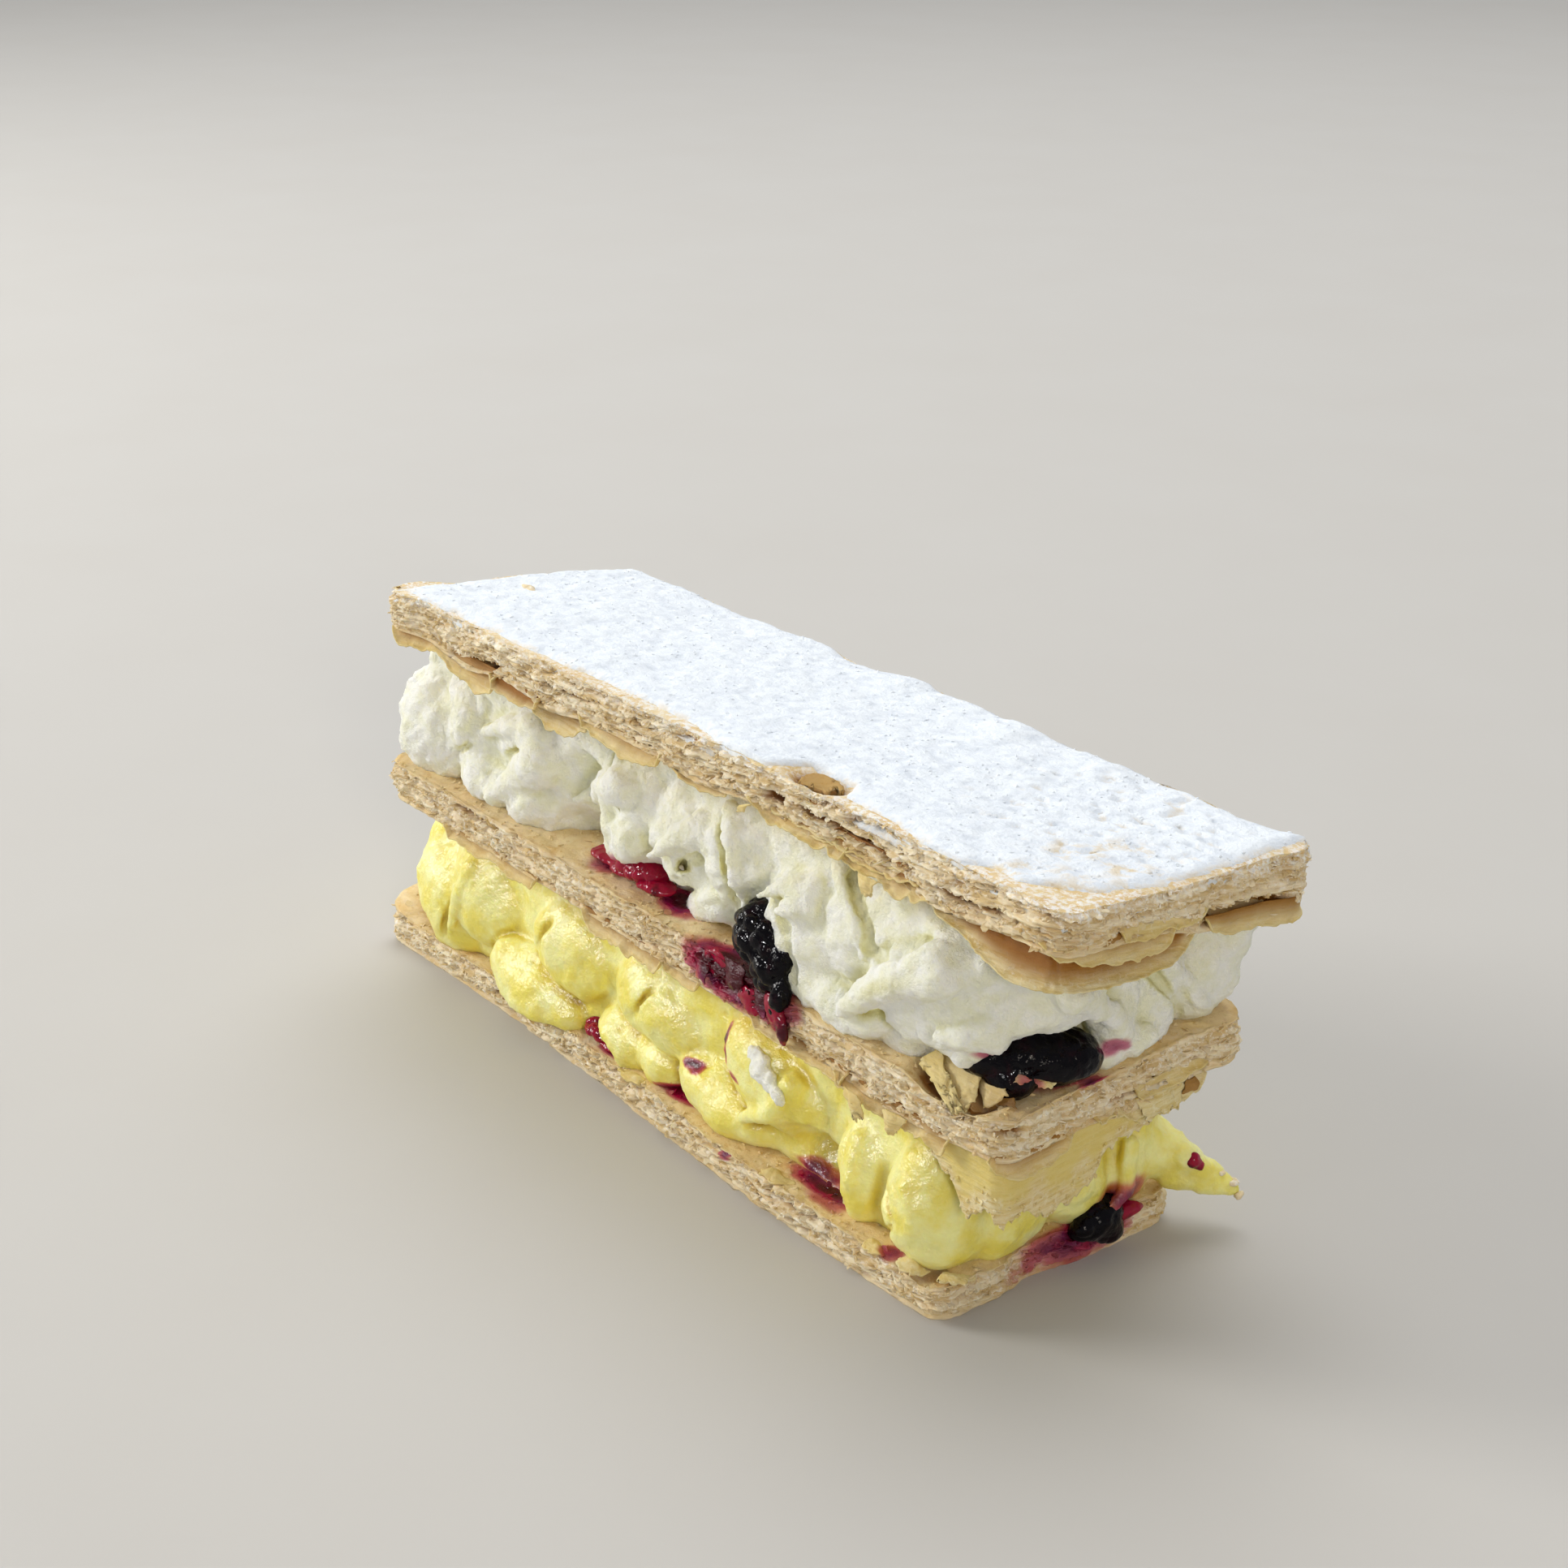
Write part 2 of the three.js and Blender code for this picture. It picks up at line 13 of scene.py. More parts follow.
import bpy
import numpy as np
from bpy.types import Material, Object
from mathutils import Matrix, Vector
from numpy import ndarray as Array

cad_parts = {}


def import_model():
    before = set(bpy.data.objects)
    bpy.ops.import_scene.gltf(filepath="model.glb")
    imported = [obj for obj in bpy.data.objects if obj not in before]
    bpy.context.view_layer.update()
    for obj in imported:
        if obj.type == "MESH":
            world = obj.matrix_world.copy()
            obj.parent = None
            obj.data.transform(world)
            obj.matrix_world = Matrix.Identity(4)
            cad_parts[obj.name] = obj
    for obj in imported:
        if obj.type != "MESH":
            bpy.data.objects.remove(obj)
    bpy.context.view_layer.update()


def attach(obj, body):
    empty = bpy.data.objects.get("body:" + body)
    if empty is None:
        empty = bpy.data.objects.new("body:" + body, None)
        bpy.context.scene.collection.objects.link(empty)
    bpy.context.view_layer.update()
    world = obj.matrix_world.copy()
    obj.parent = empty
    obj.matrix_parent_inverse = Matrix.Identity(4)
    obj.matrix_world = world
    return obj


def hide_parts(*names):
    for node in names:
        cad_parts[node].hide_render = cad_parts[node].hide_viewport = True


MM = 0.001
LOG = logging.getLogger("mille_feuille")
# The eight corners of a cell, as steps of 0 or 1 along each axis.
CORNERS = np.array([[(corner >> axis) & 1 for axis in range(3)] for corner in range(8)])

# The cut sheets, all alike but for their width.
SHEET_LENGTH = 120.0
SHEET_CORNER = 3.0
# How many steps round a sheet its hanging edge wanders by.
OUTLINE_STEPS = 100
# The planes of the open long side and of the near end, on which folds are marked.
SIDE_PLANE = -17.0
END_PLANE = 68.0
CAMERA_STAND = (237.316, -174.035, 163.660)


# ---- Numbers that repeat on every run ----


def hashed(index: Array, salt: float) -> Array:
    """Values from 0 to 1 for whole numbers, other ones for each salt."""
    value = np.sin(np.asarray(index, float) * 12.9898 + salt * 78.233) * 43758.5453
    return value - np.floor(value)


def eased(low: float, high: float, value: Array) -> Array:
    """A smooth step from 0 at low to 1 at high, read at each value."""
    share = np.clip((np.asarray(value, float) - low) / (high - low), 0, 1)
    return share * share * (3 - 2 * share)


def wander(place: Array, salt: float, cycle: int) -> Array:
    """A smooth wave from -1 to 1 that closes on itself.

    Args:
        place: Where it is read, in steps.
        salt: Picks the wave.
        cycle: Steps until it repeats.

    Returns:
        The wave there.
    """
    step = np.floor(place)
    share = eased(0, 1, place - step)
    here = hashed(step % cycle, salt)
    return 2 * (here + (hashed((step + 1) % cycle, salt) - here) * share) - 1


class Lattice:
    """Smooth noise from -1 to 1 on a lattice of seeded numbers, which repeats after SIDE cells."""

    SIDE = 32

    def __init__(self, seed: int) -> None:
        """Draws the lattice from a seed."""
        self.table = np.random.default_rng(seed).uniform(-1, 1, (self.SIDE,) * 3)

    def at(self, points: Array, size: object = 1.0) -> Array:
        """Reads the noise.

        Args:
            points: Places.
            size: Length of a cell, or one for each axis.

        Returns:
            One value for each.
        """
        place = np.asarray(points, float) / np.asarray(size, float)
        cell = np.floor(place).astype(int)
        share = eased(0, 1, place - cell)
        low, high = cell % self.SIDE, (cell + 1) % self.SIDE
        total = np.zeros(len(place))
        for upper in CORNERS:
            weight = np.where(upper, share, 1 - share).T
            index = np.where(upper, high, low).T
            total += weight[0] * weight[1] * weight[2] * self.table[tuple(index)]
        return total

    def layered(self, points: Array, size: object, octaves: int = 3, gain: float = 0.5) -> Array:
        """Adds finer and finer noise.

        Args:
            points: Places.
            size: Length of the coarsest cell.
            octaves: How many sizes, each half the last.
            gain: Each one's strength as a share of the last's.

        Returns:
            Values within about -1 to 1.
        """
        total, strength, reach = np.zeros(len(points)), 0.0, 1.0
        for octave in range(octaves):
            total += reach * self.at(np.asarray(points) + 17.3 * octave, np.asarray(size, float) / 2**octave)
            strength += reach
            reach *= gain
        return total / strength


# ---- Meshes ----


def make_piece(name: str, points: Array, faces: list, material: Material, slot: str = "",
               node: str = "", **tints: Array) -> Object:
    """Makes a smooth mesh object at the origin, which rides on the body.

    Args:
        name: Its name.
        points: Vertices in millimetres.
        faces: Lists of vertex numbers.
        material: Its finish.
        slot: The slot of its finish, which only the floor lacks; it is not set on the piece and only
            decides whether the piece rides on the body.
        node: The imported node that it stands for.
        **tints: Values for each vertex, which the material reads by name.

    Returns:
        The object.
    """
    mesh = bpy.data.meshes.new(name)
    mesh.from_pydata((np.asarray(points, float) * MM).tolist(), [], faces)
    mesh.materials.append(material)
    mesh.polygons.foreach_set("use_smooth", np.ones(len(mesh.polygons), bool))
    mesh.update()
    for tint_name, values in tints.items():
        values = np.asarray(values, np.float32)
        kind, key = ("FLOAT_VECTOR", "vector") if values.ndim == 2 else ("FLOAT", "value")
        mesh.attributes.new(tint_name, kind, "POINT").data.foreach_set(key, values.ravel())
    piece = bpy.data.objects.new(name, mesh)
    bpy.context.scene.collection.objects.link(piece)
    if slot:
        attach(piece, "root")
    if node:
        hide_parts(node)
    return piece


def close_grid(shape: tuple, plain_back: bool = False) -> list:
    """Faces of a slab, whose back's points follow its front's.

    Args:
        shape: Rows and columns of the front.
        plain_back: Whether the back is one face and the grid runs the other way round.

    Returns:
        Lists of vertex numbers.
    """
    number = np.arange(shape[0] * shape[1]).reshape(shape)
    front = np.stack([number[:-1, :-1], number[:-1, 1:], number[1:, 1:], number[1:, :-1]], -1).reshape(-1, 4)
    rim = np.concatenate([number[:-1, 0], number[-1, :-1], number[:0:-1, -1], number[0, :0:-1]])
    following = np.roll(rim, -1)
    sides = np.stack([rim, rim + number.size, following + number.size, following], 1)
    if plain_back:
        return front[:, [0, 3, 2, 1]].tolist() + sides.tolist() + [(rim + number.size)[::-1].tolist()]
    return front.tolist() + (front[:, ::-1] + number.size).tolist() + sides[:, ::-1].tolist()


def thicken(grid: Array, thick: float) -> tuple:
    """Gives a thin leaf a thickness inwards and closes it.

    Args:
        grid: Points of its outer face.
        thick: Its thickness.

    Returns:
        Points and faces.
    """
    normal = np.cross(np.gradient(grid, axis=1), np.gradient(grid, axis=0))
    normal /= np.maximum(np.linalg.norm(normal, axis=2, keepdims=True), 1e-9)
    inner = grid - normal * thick
    return np.concatenate([grid.reshape(-1, 3), inner.reshape(-1, 3)]), close_grid(grid.shape[:2])


def close_rings(rings: int, count: int) -> list:
    """Faces of a closed body of rings, from its lowest cap round the side to its top cap.

    Args:
        rings: How many rings.
        count: Points in each.

    Returns:
        Lists of vertex numbers.
    """
    first = np.arange(count)
    following = np.roll(first, -1)
    quads = np.stack([first, following, following + count, first + count], 1)
    sides = (quads + count * np.arange(rings - 1)[:, None, None]).reshape(-1, 4)
    return [*sides.tolist(), first[::-1].tolist(), (first + (rings - 1) * count).tolist()]


def join_tints(parts: list) -> dict:
    """Joins the tints of a mesh's parts, each a dictionary of values by name."""
    return {name: np.concatenate([part[name] for part in parts]) for name in parts[0]}


@dataclass(frozen=True)
class Lobe:
    """A lobe of filling: its centre, its half sizes, its lean about Y and its turn about Z."""

    at: tuple
    size: tuple
    lean: float = 0.0
    turn: float = 0.0


@dataclass(frozen=True)
class Stroke:
    """A ridge, peak or groove that runs through points and tapers."""

    path: tuple
    thick: float
    thin: float
    cut: bool = False
    crease: float = 0.4


@dataclass
class SoftField:
    """Distances to a soft body, on a grid of points in a box of space, from which its skin is meshed."""

    low: tuple
    high: tuple
    step: float = 0.5

    def __post_init__(self) -> None:
        """Lays out the grid."""
        self.corner = np.asarray(self.low, float)
        self.count = np.ceil((np.asarray(self.high, float) - self.corner) / self.step).astype(int) + 1
        self.values = np.full(self.count, 9.0, np.float32)
        self.shift = None

    def warp(self, noise: Lattice, size: float, amount: float) -> None:
        """Makes the shapes that follow uneven.

        Args:
            noise: What moves the places that they are read at.
            size: Size of the unevenness.
            amount: How far places move.
        """
        coarse = SoftField(self.low, self.high, 1.2)
        _, axes = coarse.part()
        places = np.stack([axis.ravel() for axis in axes], 1)
        _, fine = self.part()
        flat = np.stack([axis.ravel() for axis in fine], 1)
        self.shift = []
        for axis in range(3):
            coarse.values = noise.layered(places + 31.0 * axis, size, 3, 0.6).reshape(coarse.count)
            self.shift.append((amount * coarse.at(flat)).reshape(self.count).astype(np.float32))

    def part(self, low: object = None, high: object = None, warped: bool = False) -> tuple:
        """Picks the grid points in a box, or all.

        Args:
            low: Its lowest corner.
            high: Its highest corner.
            warped: Whether the warp moves the coordinates.

        Returns:
            Slices of the grid, and X, Y and Z there.
        """
        low = self.corner if low is None else low
        high = self.corner + self.step * self.count if high is None else high
        first = np.clip(np.floor((np.asarray(low) - self.corner) / self.step).astype(int), 0, self.count)
        last = np.clip(np.ceil((np.asarray(high) - self.corner) / self.step).astype(int) + 1, 0, self.count)
        slices = tuple(slice(a, b) for a, b in zip(first, last))
        axes = [self.corner[k] + self.step * np.arange(first[k], last[k]) for k in range(3)]
        places = np.meshgrid(*axes, indexing="ij")
        if warped and self.shift:
            places = [place + shift[slices] for place, shift in zip(places, self.shift)]
        return slices, places

    def join(self, slices: tuple, shape: Array, crease: float, cut: bool = False) -> None:
        """Adds a shape or takes it away, with a soft crease.

        Args:
            slices: Where on the grid it is given.
            shape: Distances to it.
            crease: The crease's radius.
            cut: Whether it is taken away.
        """
        sign = -1 if cut else 1
        here = sign * self.values[slices]
        overlap = np.maximum(crease - np.abs(here - shape), 0) / crease
        self.values[slices] = sign * (np.minimum(here, shape) - overlap**2 * crease * 0.25)

    def round_box(self, low: tuple, high: tuple, rounding: float, crease: float) -> None:
        """Adds a box with round edges.

        Args:
            low: Its lowest corner.
            high: Its highest corner.
            rounding: Radius of its edges.
            crease: The crease's radius.
        """
        slices, axes = self.part(warped=True)
        middle, half = (np.array(low) + high) / 2, (np.array(high) - low) / 2 - rounding
        away = [np.abs(axis - middle[k]) - half[k] for k, axis in enumerate(axes)]
        outside = np.sqrt(sum(np.maximum(a, 0) ** 2 for a in away))
        inside = np.minimum(np.maximum(np.maximum(away[0], away[1]), away[2]), 0)
        self.join(slices, outside + inside - rounding, crease)

    def lobe(self, lobe: Lobe, crease: float, cut: bool = False) -> None:
        """Adds an ellipsoid or takes it away.

        Args:
            lobe: The ellipsoid.
            crease: The crease's radius.
            cut: Whether it is taken away.
        """
        at, size = lobe.at, lobe.size
        reach = max(size) + 3
        slices, (x, y, z) = self.part(np.array(at) - reach, np.array(at) + reach, True)
        if x.size == 0:
            return
        x, y, z = x - at[0], y - at[1], z - at[2]
        cos, sin = math.cos(math.radians(lobe.turn)), math.sin(math.radians(lobe.turn))
        x, y = cos * x + sin * y, -sin * x + cos * y
        cos, sin = math.cos(math.radians(lobe.lean)), math.sin(math.radians(lobe.lean))
        x, z = cos * x + sin * z, -sin * x + cos * z
        near = np.sqrt((x / size[0]) ** 2 + (y / size[1]) ** 2 + (z / size[2]) ** 2)
        slope = np.sqrt((x / size[0] ** 2) ** 2 + (y / size[1] ** 2) ** 2 + (z / size[2] ** 2) ** 2)
        shape = near * (near - 1) / np.maximum(slope, 1e-9)
        self.join(slices, shape, crease, cut)

    def stroke(self, stroke: Stroke) -> None:
        """Adds a tapering stroke or takes it away.

        Args:
            stroke: The stroke.
        """
        points, thick, thin = np.asarray(stroke.path, float), stroke.thick, stroke.thin
        reach = max(thick, thin) + 2
        slices, (x, y, z) = self.part(points.min(0) - reach, points.max(0) + reach)
        if x.size == 0:
            return
        nearest = np.full(x.shape, 9.0)
        pieces = len(points) - 1
        for k in range(pieces):
            run = points[k + 1] - points[k]
            dx, dy, dz = x - points[k][0], y - points[k][1], z - points[k][2]
            share = np.clip((dx * run[0] + dy * run[1] + dz * run[2]) / (run @ run), 0, 1)
            dx, dy, dz = dx - share * run[0], dy - share * run[1], dz - share * run[2]
            radius = thick + (thin - thick) * (k + share) / pieces
            nearest = np.minimum(nearest, np.sqrt(dx**2 + dy**2 + dz**2) - radius)
        self.join(slices, nearest, stroke.crease, stroke.cut)

    def trim(self, below: object, above: object) -> None:
        """Keeps what lies between two faces.

        Args:
            below: Gives the lower face's height over x and y.
            above: Gives the upper face's.
        """
        slices, (x, y, z) = self.part()
        self.join(slices, z - below(x, y), 0.8, True)
        self.join(slices, above(x, y) - z, 0.8, True)

    def at(self, points: Array) -> Array:
        """Reads the distance.

        Args:
            points: Places.

        Returns:
            Distances, negative inside.
        """
        place = np.clip((np.asarray(points) - self.corner) / self.step, 0, self.count - 1.001)
        cell = place.astype(int)
        share = place - cell
        total = np.zeros(len(place))
        for upper in CORNERS:
            weight = np.prod(np.where(upper, share, 1 - share), axis=1)
            total += weight * self.values[tuple((cell + upper).T)]
        return total

    def crease_shade(self, points: Array, normals: Array, reach: float) -> Array:
        """How sunken each place on the skin is.

        Args:
            points: The places.
            normals: The skin's directions there.
            reach: How far out it looks for what stands beside it.

        Returns:
            Values from 0 in the open to 1 deep in a crease.
        """
        total = np.zeros(len(points))
        for share in (0.35, 0.7, 1.0):
            away = reach * share
            total += np.clip(1 - self.at(points + normals * away) / away, 0, 1)
        return total / 3

    def skin(self) -> tuple:
        """Meshes the skin with a vertex in each cell that it crosses.

        Returns:
            Points, quads and outward directions.
        """
        inside = self.values < 0
        size = self.count - 1
        votes = np.zeros(size, np.int8)
        for offset in CORNERS:
            votes += inside[tuple(slice(o, o + n) for o, n in zip(offset, size))]
        cells = np.argwhere((votes > 0) & (votes < 8))
        number = np.full(size, -1)
        number[tuple(cells.T)] = np.arange(len(cells))
        total, hits = np.zeros((len(cells), 3)), np.zeros(len(cells))
        for axis in range(3):
            along = np.eye(3, dtype=int)[axis]
            for start in CORNERS[CORNERS[:, axis] == 0]:
                a = self.values[tuple((cells + start).T)]
                b = self.values[tuple((cells + start + along).T)]
                crossed = (a < 0) != (b < 0)
                share = np.where(crossed, a / np.where(a == b, 1, a - b), 0)
                total += crossed[:, None] * (start + share[:, None] * along)
                hits += crossed
        points = self.corner + self.step * (cells + total / hits[:, None])
        quads = []
        for axis in range(3):
            along = np.eye(3, dtype=int)[axis]
            side, other = np.eye(3, dtype=int)[(axis + 1) % 3], np.eye(3, dtype=int)[(axis + 2) % 3]
            near = tuple(slice(0, n - a) for n, a in zip(self.count, along))
            far = tuple(slice(a, None) for a in along)
            edges = np.argwhere(inside[near] != inside[far])
            keep = np.all((edges - side - other >= 0) & (edges < size), axis=1)
            edges = edges[keep]
            ring = [number[tuple((edges - offset).T)] for offset in (0 * side, side, side + other, other)]
            quad = np.stack(ring, 1)
            outward = inside[tuple(edges.T)]
            quads.append(np.where(outward[:, None], quad, quad[:, ::-1]))
        quads = np.concatenate(quads)
        return points, quads, self.directions(points)

    def directions(self, points: Array) -> Array:
        """Finds which way is out.

        Args:
            points: Places near the skin.

        Returns:
            Unit directions.
        """
        small = 0.6 * self.step
        slopes = [self.at(points + small * axis) - self.at(points - small * axis) for axis in np.eye(3)]
        slope = np.stack(slopes, 1)
        return slope / np.maximum(np.linalg.norm(slope, axis=1, keepdims=True), 1e-9)


# ---- Colours and materials ----


def linear(code: str) -> tuple:
    """Turns an sRGB hex colour to linear red, green and blue, and an alpha of 1."""
    shares = [int(code[k : k + 2], 16) / 255 for k in (1, 3, 5)]
    return tuple(c / 12.92 if c <= 0.04045 else ((c + 0.055) / 1.055) ** 2.4 for c in shares) + (1.0,)


@dataclass
class Nodes:
    """A node tree, with one function that adds a node with its settings and links."""

    tree: bpy.types.NodeTree

    def add(self, kind: str, inputs: dict | None = None, **settings: object) -> bpy.types.Node:
        """Adds a node.

        Args:
            kind: Its type, where ShaderNode may be left out.
            inputs: Values or sockets for its inputs, by name or number.
            **settings: Its own properties.

        Returns:
            The node.
        """
        node = self.tree.nodes.new(kind if "Node" in kind else "ShaderNode" + kind)
        for name, value in settings.items():
            setattr(node, name, value)
        self.fill(node, inputs or {})
        return node

    def fill(self, node: bpy.types.Node, inputs: dict) -> None:
        """Sets or links a node's inputs.

        Args:
            node: The node.
            inputs: Values or sockets, by name or number.
        """
        for name, value in inputs.items():
            if isinstance(value, bpy.types.NodeSocket):
                self.tree.links.new(value, node.inputs[name])
            else:
                node.inputs[name].default_value = value


@dataclass(frozen=True)
class Pattern:
    """Noise with grains of a real size in millimetres, its detail and how strong that is.

    stretch has it follow the tint grain instead of the mesh's place, at so many grains a millimetre each way.
    """

    size: float
    detail: float = 3.0
    strength: float = 0.55
    stretch: tuple = ()


@dataclass(frozen=True)
class Coat:
    """A colour laid over the last one where a pattern or a tint rises from low to high.

    Without a high, the pattern's or tint's own value is the share. coats are further colours laid on this one
    before it is laid, and times names a tint that thins it.
    """

    by: str
    low: float
    high: float
    colour: str
    coats: tuple = ()
    mode: str = "MIX"
    times: str = ""


@dataclass(frozen=True)
class Finish:
    """A real material's finish: coats of colour, bumps and gloss, from patterns and from the mesh's tints.

    bumps are patterns with their heights in millimetres. gloss is a pattern or tint, the way it is stretched,
    the two values that it is stretched between, and the roughness at each.
    """

    name: str
    base: str
    patterns: dict
    coats: tuple
    settings: dict
    bumps: tuple = ()
    gloss: tuple = ()
    tints: tuple = ()

    def make(self) -> Material:
        """Makes the material.

        Returns:
            It.
        """
        material = bpy.data.materials.new(self.name)
        material.use_nodes = True
        nodes = Nodes(material.node_tree)
        coordinates = nodes.add("TexCoord").outputs["Object"]
        place = nodes.add("Mapping", {"Vector": coordinates, "Scale": (1 / MM, 1 / MM, 1 / MM)}).outputs[0]
        read = {name: nodes.add("Attribute", attribute_name=name).outputs["Fac"] for name in self.tints}
        for name, pattern in self.patterns.items():
            where = place
            if pattern.stretch:
                grain = nodes.add("Attribute", attribute_name="grain").outputs["Vector"]
                where = nodes.add("Mapping", {"Vector": grain, "Scale": pattern.stretch}).outputs[0]
            read[name] = nodes.add("TexNoise", {
                "Vector": where, "Scale": 1 / pattern.size,
                "Detail": pattern.detail, "Roughness": pattern.strength,
            }).outputs[0]
        inputs = {"Base Color": self.paint(nodes, read, self.base, self.coats), **self.settings}
        for name, height in self.bumps:
            relief = {"Height": read[name], "Distance": height * MM, "Strength": 1.0}
            if "Normal" in inputs:
                relief["Normal"] = inputs["Normal"]
            inputs["Normal"] = nodes.add("Bump", relief).outputs[0]
        if self.gloss:
            name, kind, low, high, first, last = self.gloss
            inputs["Roughness"] = nodes.add("MapRange", {
                "Value": read[name], "From Min": low, "From Max": high, "To Min": first, "To Max": last,
            }, interpolation_type=kind).outputs[0]
        nodes.fill(material.node_tree.nodes["Principled BSDF"], inputs)
        return material

    def paint(self, nodes: Nodes, read: dict, base: str, coats: tuple) -> object:
        """Lays coats of colour.

        Args:
            nodes: The material's tree.
            read: Sockets of the patterns and tints, by name.
            base: The first colour.
            coats: The coats on it.

        Returns:
            The colour that shows.
        """
        colour = linear(base)
        for coat in coats:
            share = read[coat.by]
            if coat.high:
                rise = {"Value": share, "From Min": coat.low, "From Max": coat.high}
                share = nodes.add("MapRange", rise, interpolation_type="SMOOTHSTEP").outputs[0]
            if coat.times:
                share = nodes.add("Math", {0: read[coat.times], 1: share}, operation="MULTIPLY").outputs[0]
            over = self.paint(nodes, read, coat.colour, coat.coats)
            mixed = nodes.add("Mix", {0: share, 6: colour, 7: over}, data_type="RGBA", blend_type=coat.mode)
            colour = mixed.outputs[2]
        return colour


# Berry juice that has soaked in: pink where it is thin, purple with age, and dark red where it stands.
JUICE = (
    Coat("juice", 0.03, 0.3, "#CE7C9C", mode="MULTIPLY"),
    Coat("juice", 0.28, 0.55, "#A31240", (Coat("age", 0.4, 0.62, "#6E2148"),)),
    Coat("juice", 0.6, 0.9, "#4C0617"),
)
AGE = Pattern(5.0)
# Baked puff pastry: pale and matt where it was cut, golden where it browned, painted amber shade between
# leaves.
PUFF_PASTRY = Finish(
    "puff_pastry", "#D0B47E",
    patterns={
        # Thin leaves seen edge on: streaks four millimetres long and half a millimetre high.
        "streaks": Pattern(1.0, 4.0, 0.6, (0.24, 0.24, 2.1)),
        "flecks": Pattern(0.7, 4.0, 0.7), "patches": Pattern(6.0, 2.0), "scorch": Pattern(2.4, 3.0, 0.65),
        "age": AGE,
    },
    coats=(
        # Painted shade: the darker base shows in the streaks' low grooves, the paler cut colour on their tops.
        Coat("streaks", 0.35, 0.62, "#F1E4C6"), Coat("flecks", 0.5, 0.72, "#FBF6EA"),
        Coat("toast", 0, 0, "#DDBE86", (
            Coat("patches", 0.3, 0.7, "#E6CF9C"), Coat("flecks", 0.5, 0.72, "#C9A05E"),
            Coat("scorch", 0.52, 0.78, "#CBA25C"),
        )),
        # Painted shade in dark amber, deep between leaves and at leaf roots; flakes give their own amber here.
        Coat("pit", 0.16, 0.95, "#94601C"),
        # Where a thin leaf lies on custard it is soaked and turns a translucent yellow.
        Coat("moist", 0, 0, "#E2CD74"), Coat("flecks", 0.42, 0.6, "#F6F5F1", times="dusted"), *JUICE,
    ),
    settings={
        "IOR": 1.45, "Specular IOR Level": 0.3,
        "Subsurface Weight": 0.2, "Subsurface Radius": (1.0, 0.75, 0.4), "Subsurface Scale": 0.0007,
    },
    bumps=(("streaks", 0.26), ("flecks", 0.16)), gloss=("juice", "SMOOTHSTEP", 0.35, 0.6, 0.72, 0.22),
    tints=("pit", "toast", "moist", "dusted", "juice"),
)
# Sifted icing sugar: a cool white powder without gloss, softly lumpy, which shows the crust where it is thin.
ICING_SUGAR = Finish(
    "icing_sugar", "#DAE2EB",
    # Single grains are far too fine to show, so the bump draws them as clots of a third of a millimetre.
    patterns={"clumps": Pattern(1.6, 3.0, 0.6), "grains": Pattern(0.33, 2.0, 0.6)},
    # Painted shade: the blue-grey base shows in the dips between lumps, the white on their tops.
    coats=(Coat("clumps", 0.25, 0.6, "#EDF4FB"), Coat("clumps", 0.4, 0.62, "#DCC8A0", times="thin")),
    settings={
        "Roughness": 1.0, "Specular IOR Level": 0.1, "Sheen Weight": 0.2, "Sheen Roughness": 0.6,
        "Subsurface Weight": 0.3, "Subsurface Radius": (1.0, 1.0, 1.0), "Subsurface Scale": 0.0005,
    },
    bumps=(("clumps", 0.3), ("grains", 0.12)), tints=("thin",),
)
# Cooked custard, piped: satin, faintly grainy and translucent, with painted shade of deeper yellow in its
# creases.
PASTRY_CUSTARD = Finish(
    "pastry_custard", "#FAF6A8",
    patterns={
        "cloud": Pattern(4.5), "curd": Pattern(0.8, 3.0, 0.6), "ripple": Pattern(2.2, 3.0, 0.6), "age": AGE,
    },
    coats=(
        # Painted shade: deeper yellows in the creases, and a warm shade just below the middle sheet.
        Coat("cloud", 0.35, 0.65, "#EFE266"), Coat("hollow", 0.2, 0.6, "#E0CD4B"),
        Coat("hollow", 0.55, 0.95, "#B4941C"), Coat("under", 0, 0, "#EFD68C", mode="MULTIPLY"), *JUICE,
    ),
    settings={
        "IOR": 1.42, "Specular IOR Level": 0.8,
        "Subsurface Weight": 0.5, "Subsurface Radius": (1.0, 0.85, 0.25), "Subsurface Scale": 0.002,
    },
    bumps=(("curd", 0.22), ("ripple", 0.32)), gloss=("curd", "LINEAR", 0, 1, 0.28, 0.46),
    tints=("hollow", "under", "juice"),
)
# Whipped cream with a little cheese: soft ivory, matt, torn and grainy where it was pulled apart.
WHIPPED_CREAM = Finish(
    "whipped_cream", "#FDFEF2",
    patterns={"curd": Pattern(0.8, 4.0, 0.65), "soft": Pattern(3.0), "age": AGE},
    coats=(
        # Painted shade: yellower and darker the deeper a crease.
        Coat("soft", 0.35, 0.7, "#F4F4DA"), Coat("hollow", 0.2, 0.65, "#ECEAC2"),
        Coat("hollow", 0.6, 1.0, "#CFC684"),
        # Just below a sheet the colour is warmed: painted shade with the light that falls through the pastry,
        # and butter.
        Coat("under", 0, 0, "#E9D3A0", mode="MULTIPLY"), *JUICE,
    ),
    settings={
        "Roughness": 0.5, "IOR": 1.42, "Specular IOR Level": 0.35,
        "Subsurface Weight": 0.45, "Subsurface Radius": (1.0, 0.95, 0.7), "Subsurface Scale": 0.0012,
    },
    bumps=(("soft", 0.35), ("curd", 0.6)), tints=("hollow", "under", "juice"),
)
# Cooked berry skin: nearly black purple, wet, with small sharp glints, red where it is thin.
BERRY_SKIN = Finish(
    "berry_skin", "#040207",
    patterns={"patches": Pattern(1.6), "wrinkle": Pattern(0.5, 2.0)},
    coats=(Coat("patches", 0.5, 0.75, "#1E030C"),),
    settings={"IOR": 1.4, "Specular IOR Level": 0.2},
    bumps=(("wrinkle", 0.1),), gloss=("patches", "LINEAR", 0, 1, 0.07, 0.17),
)
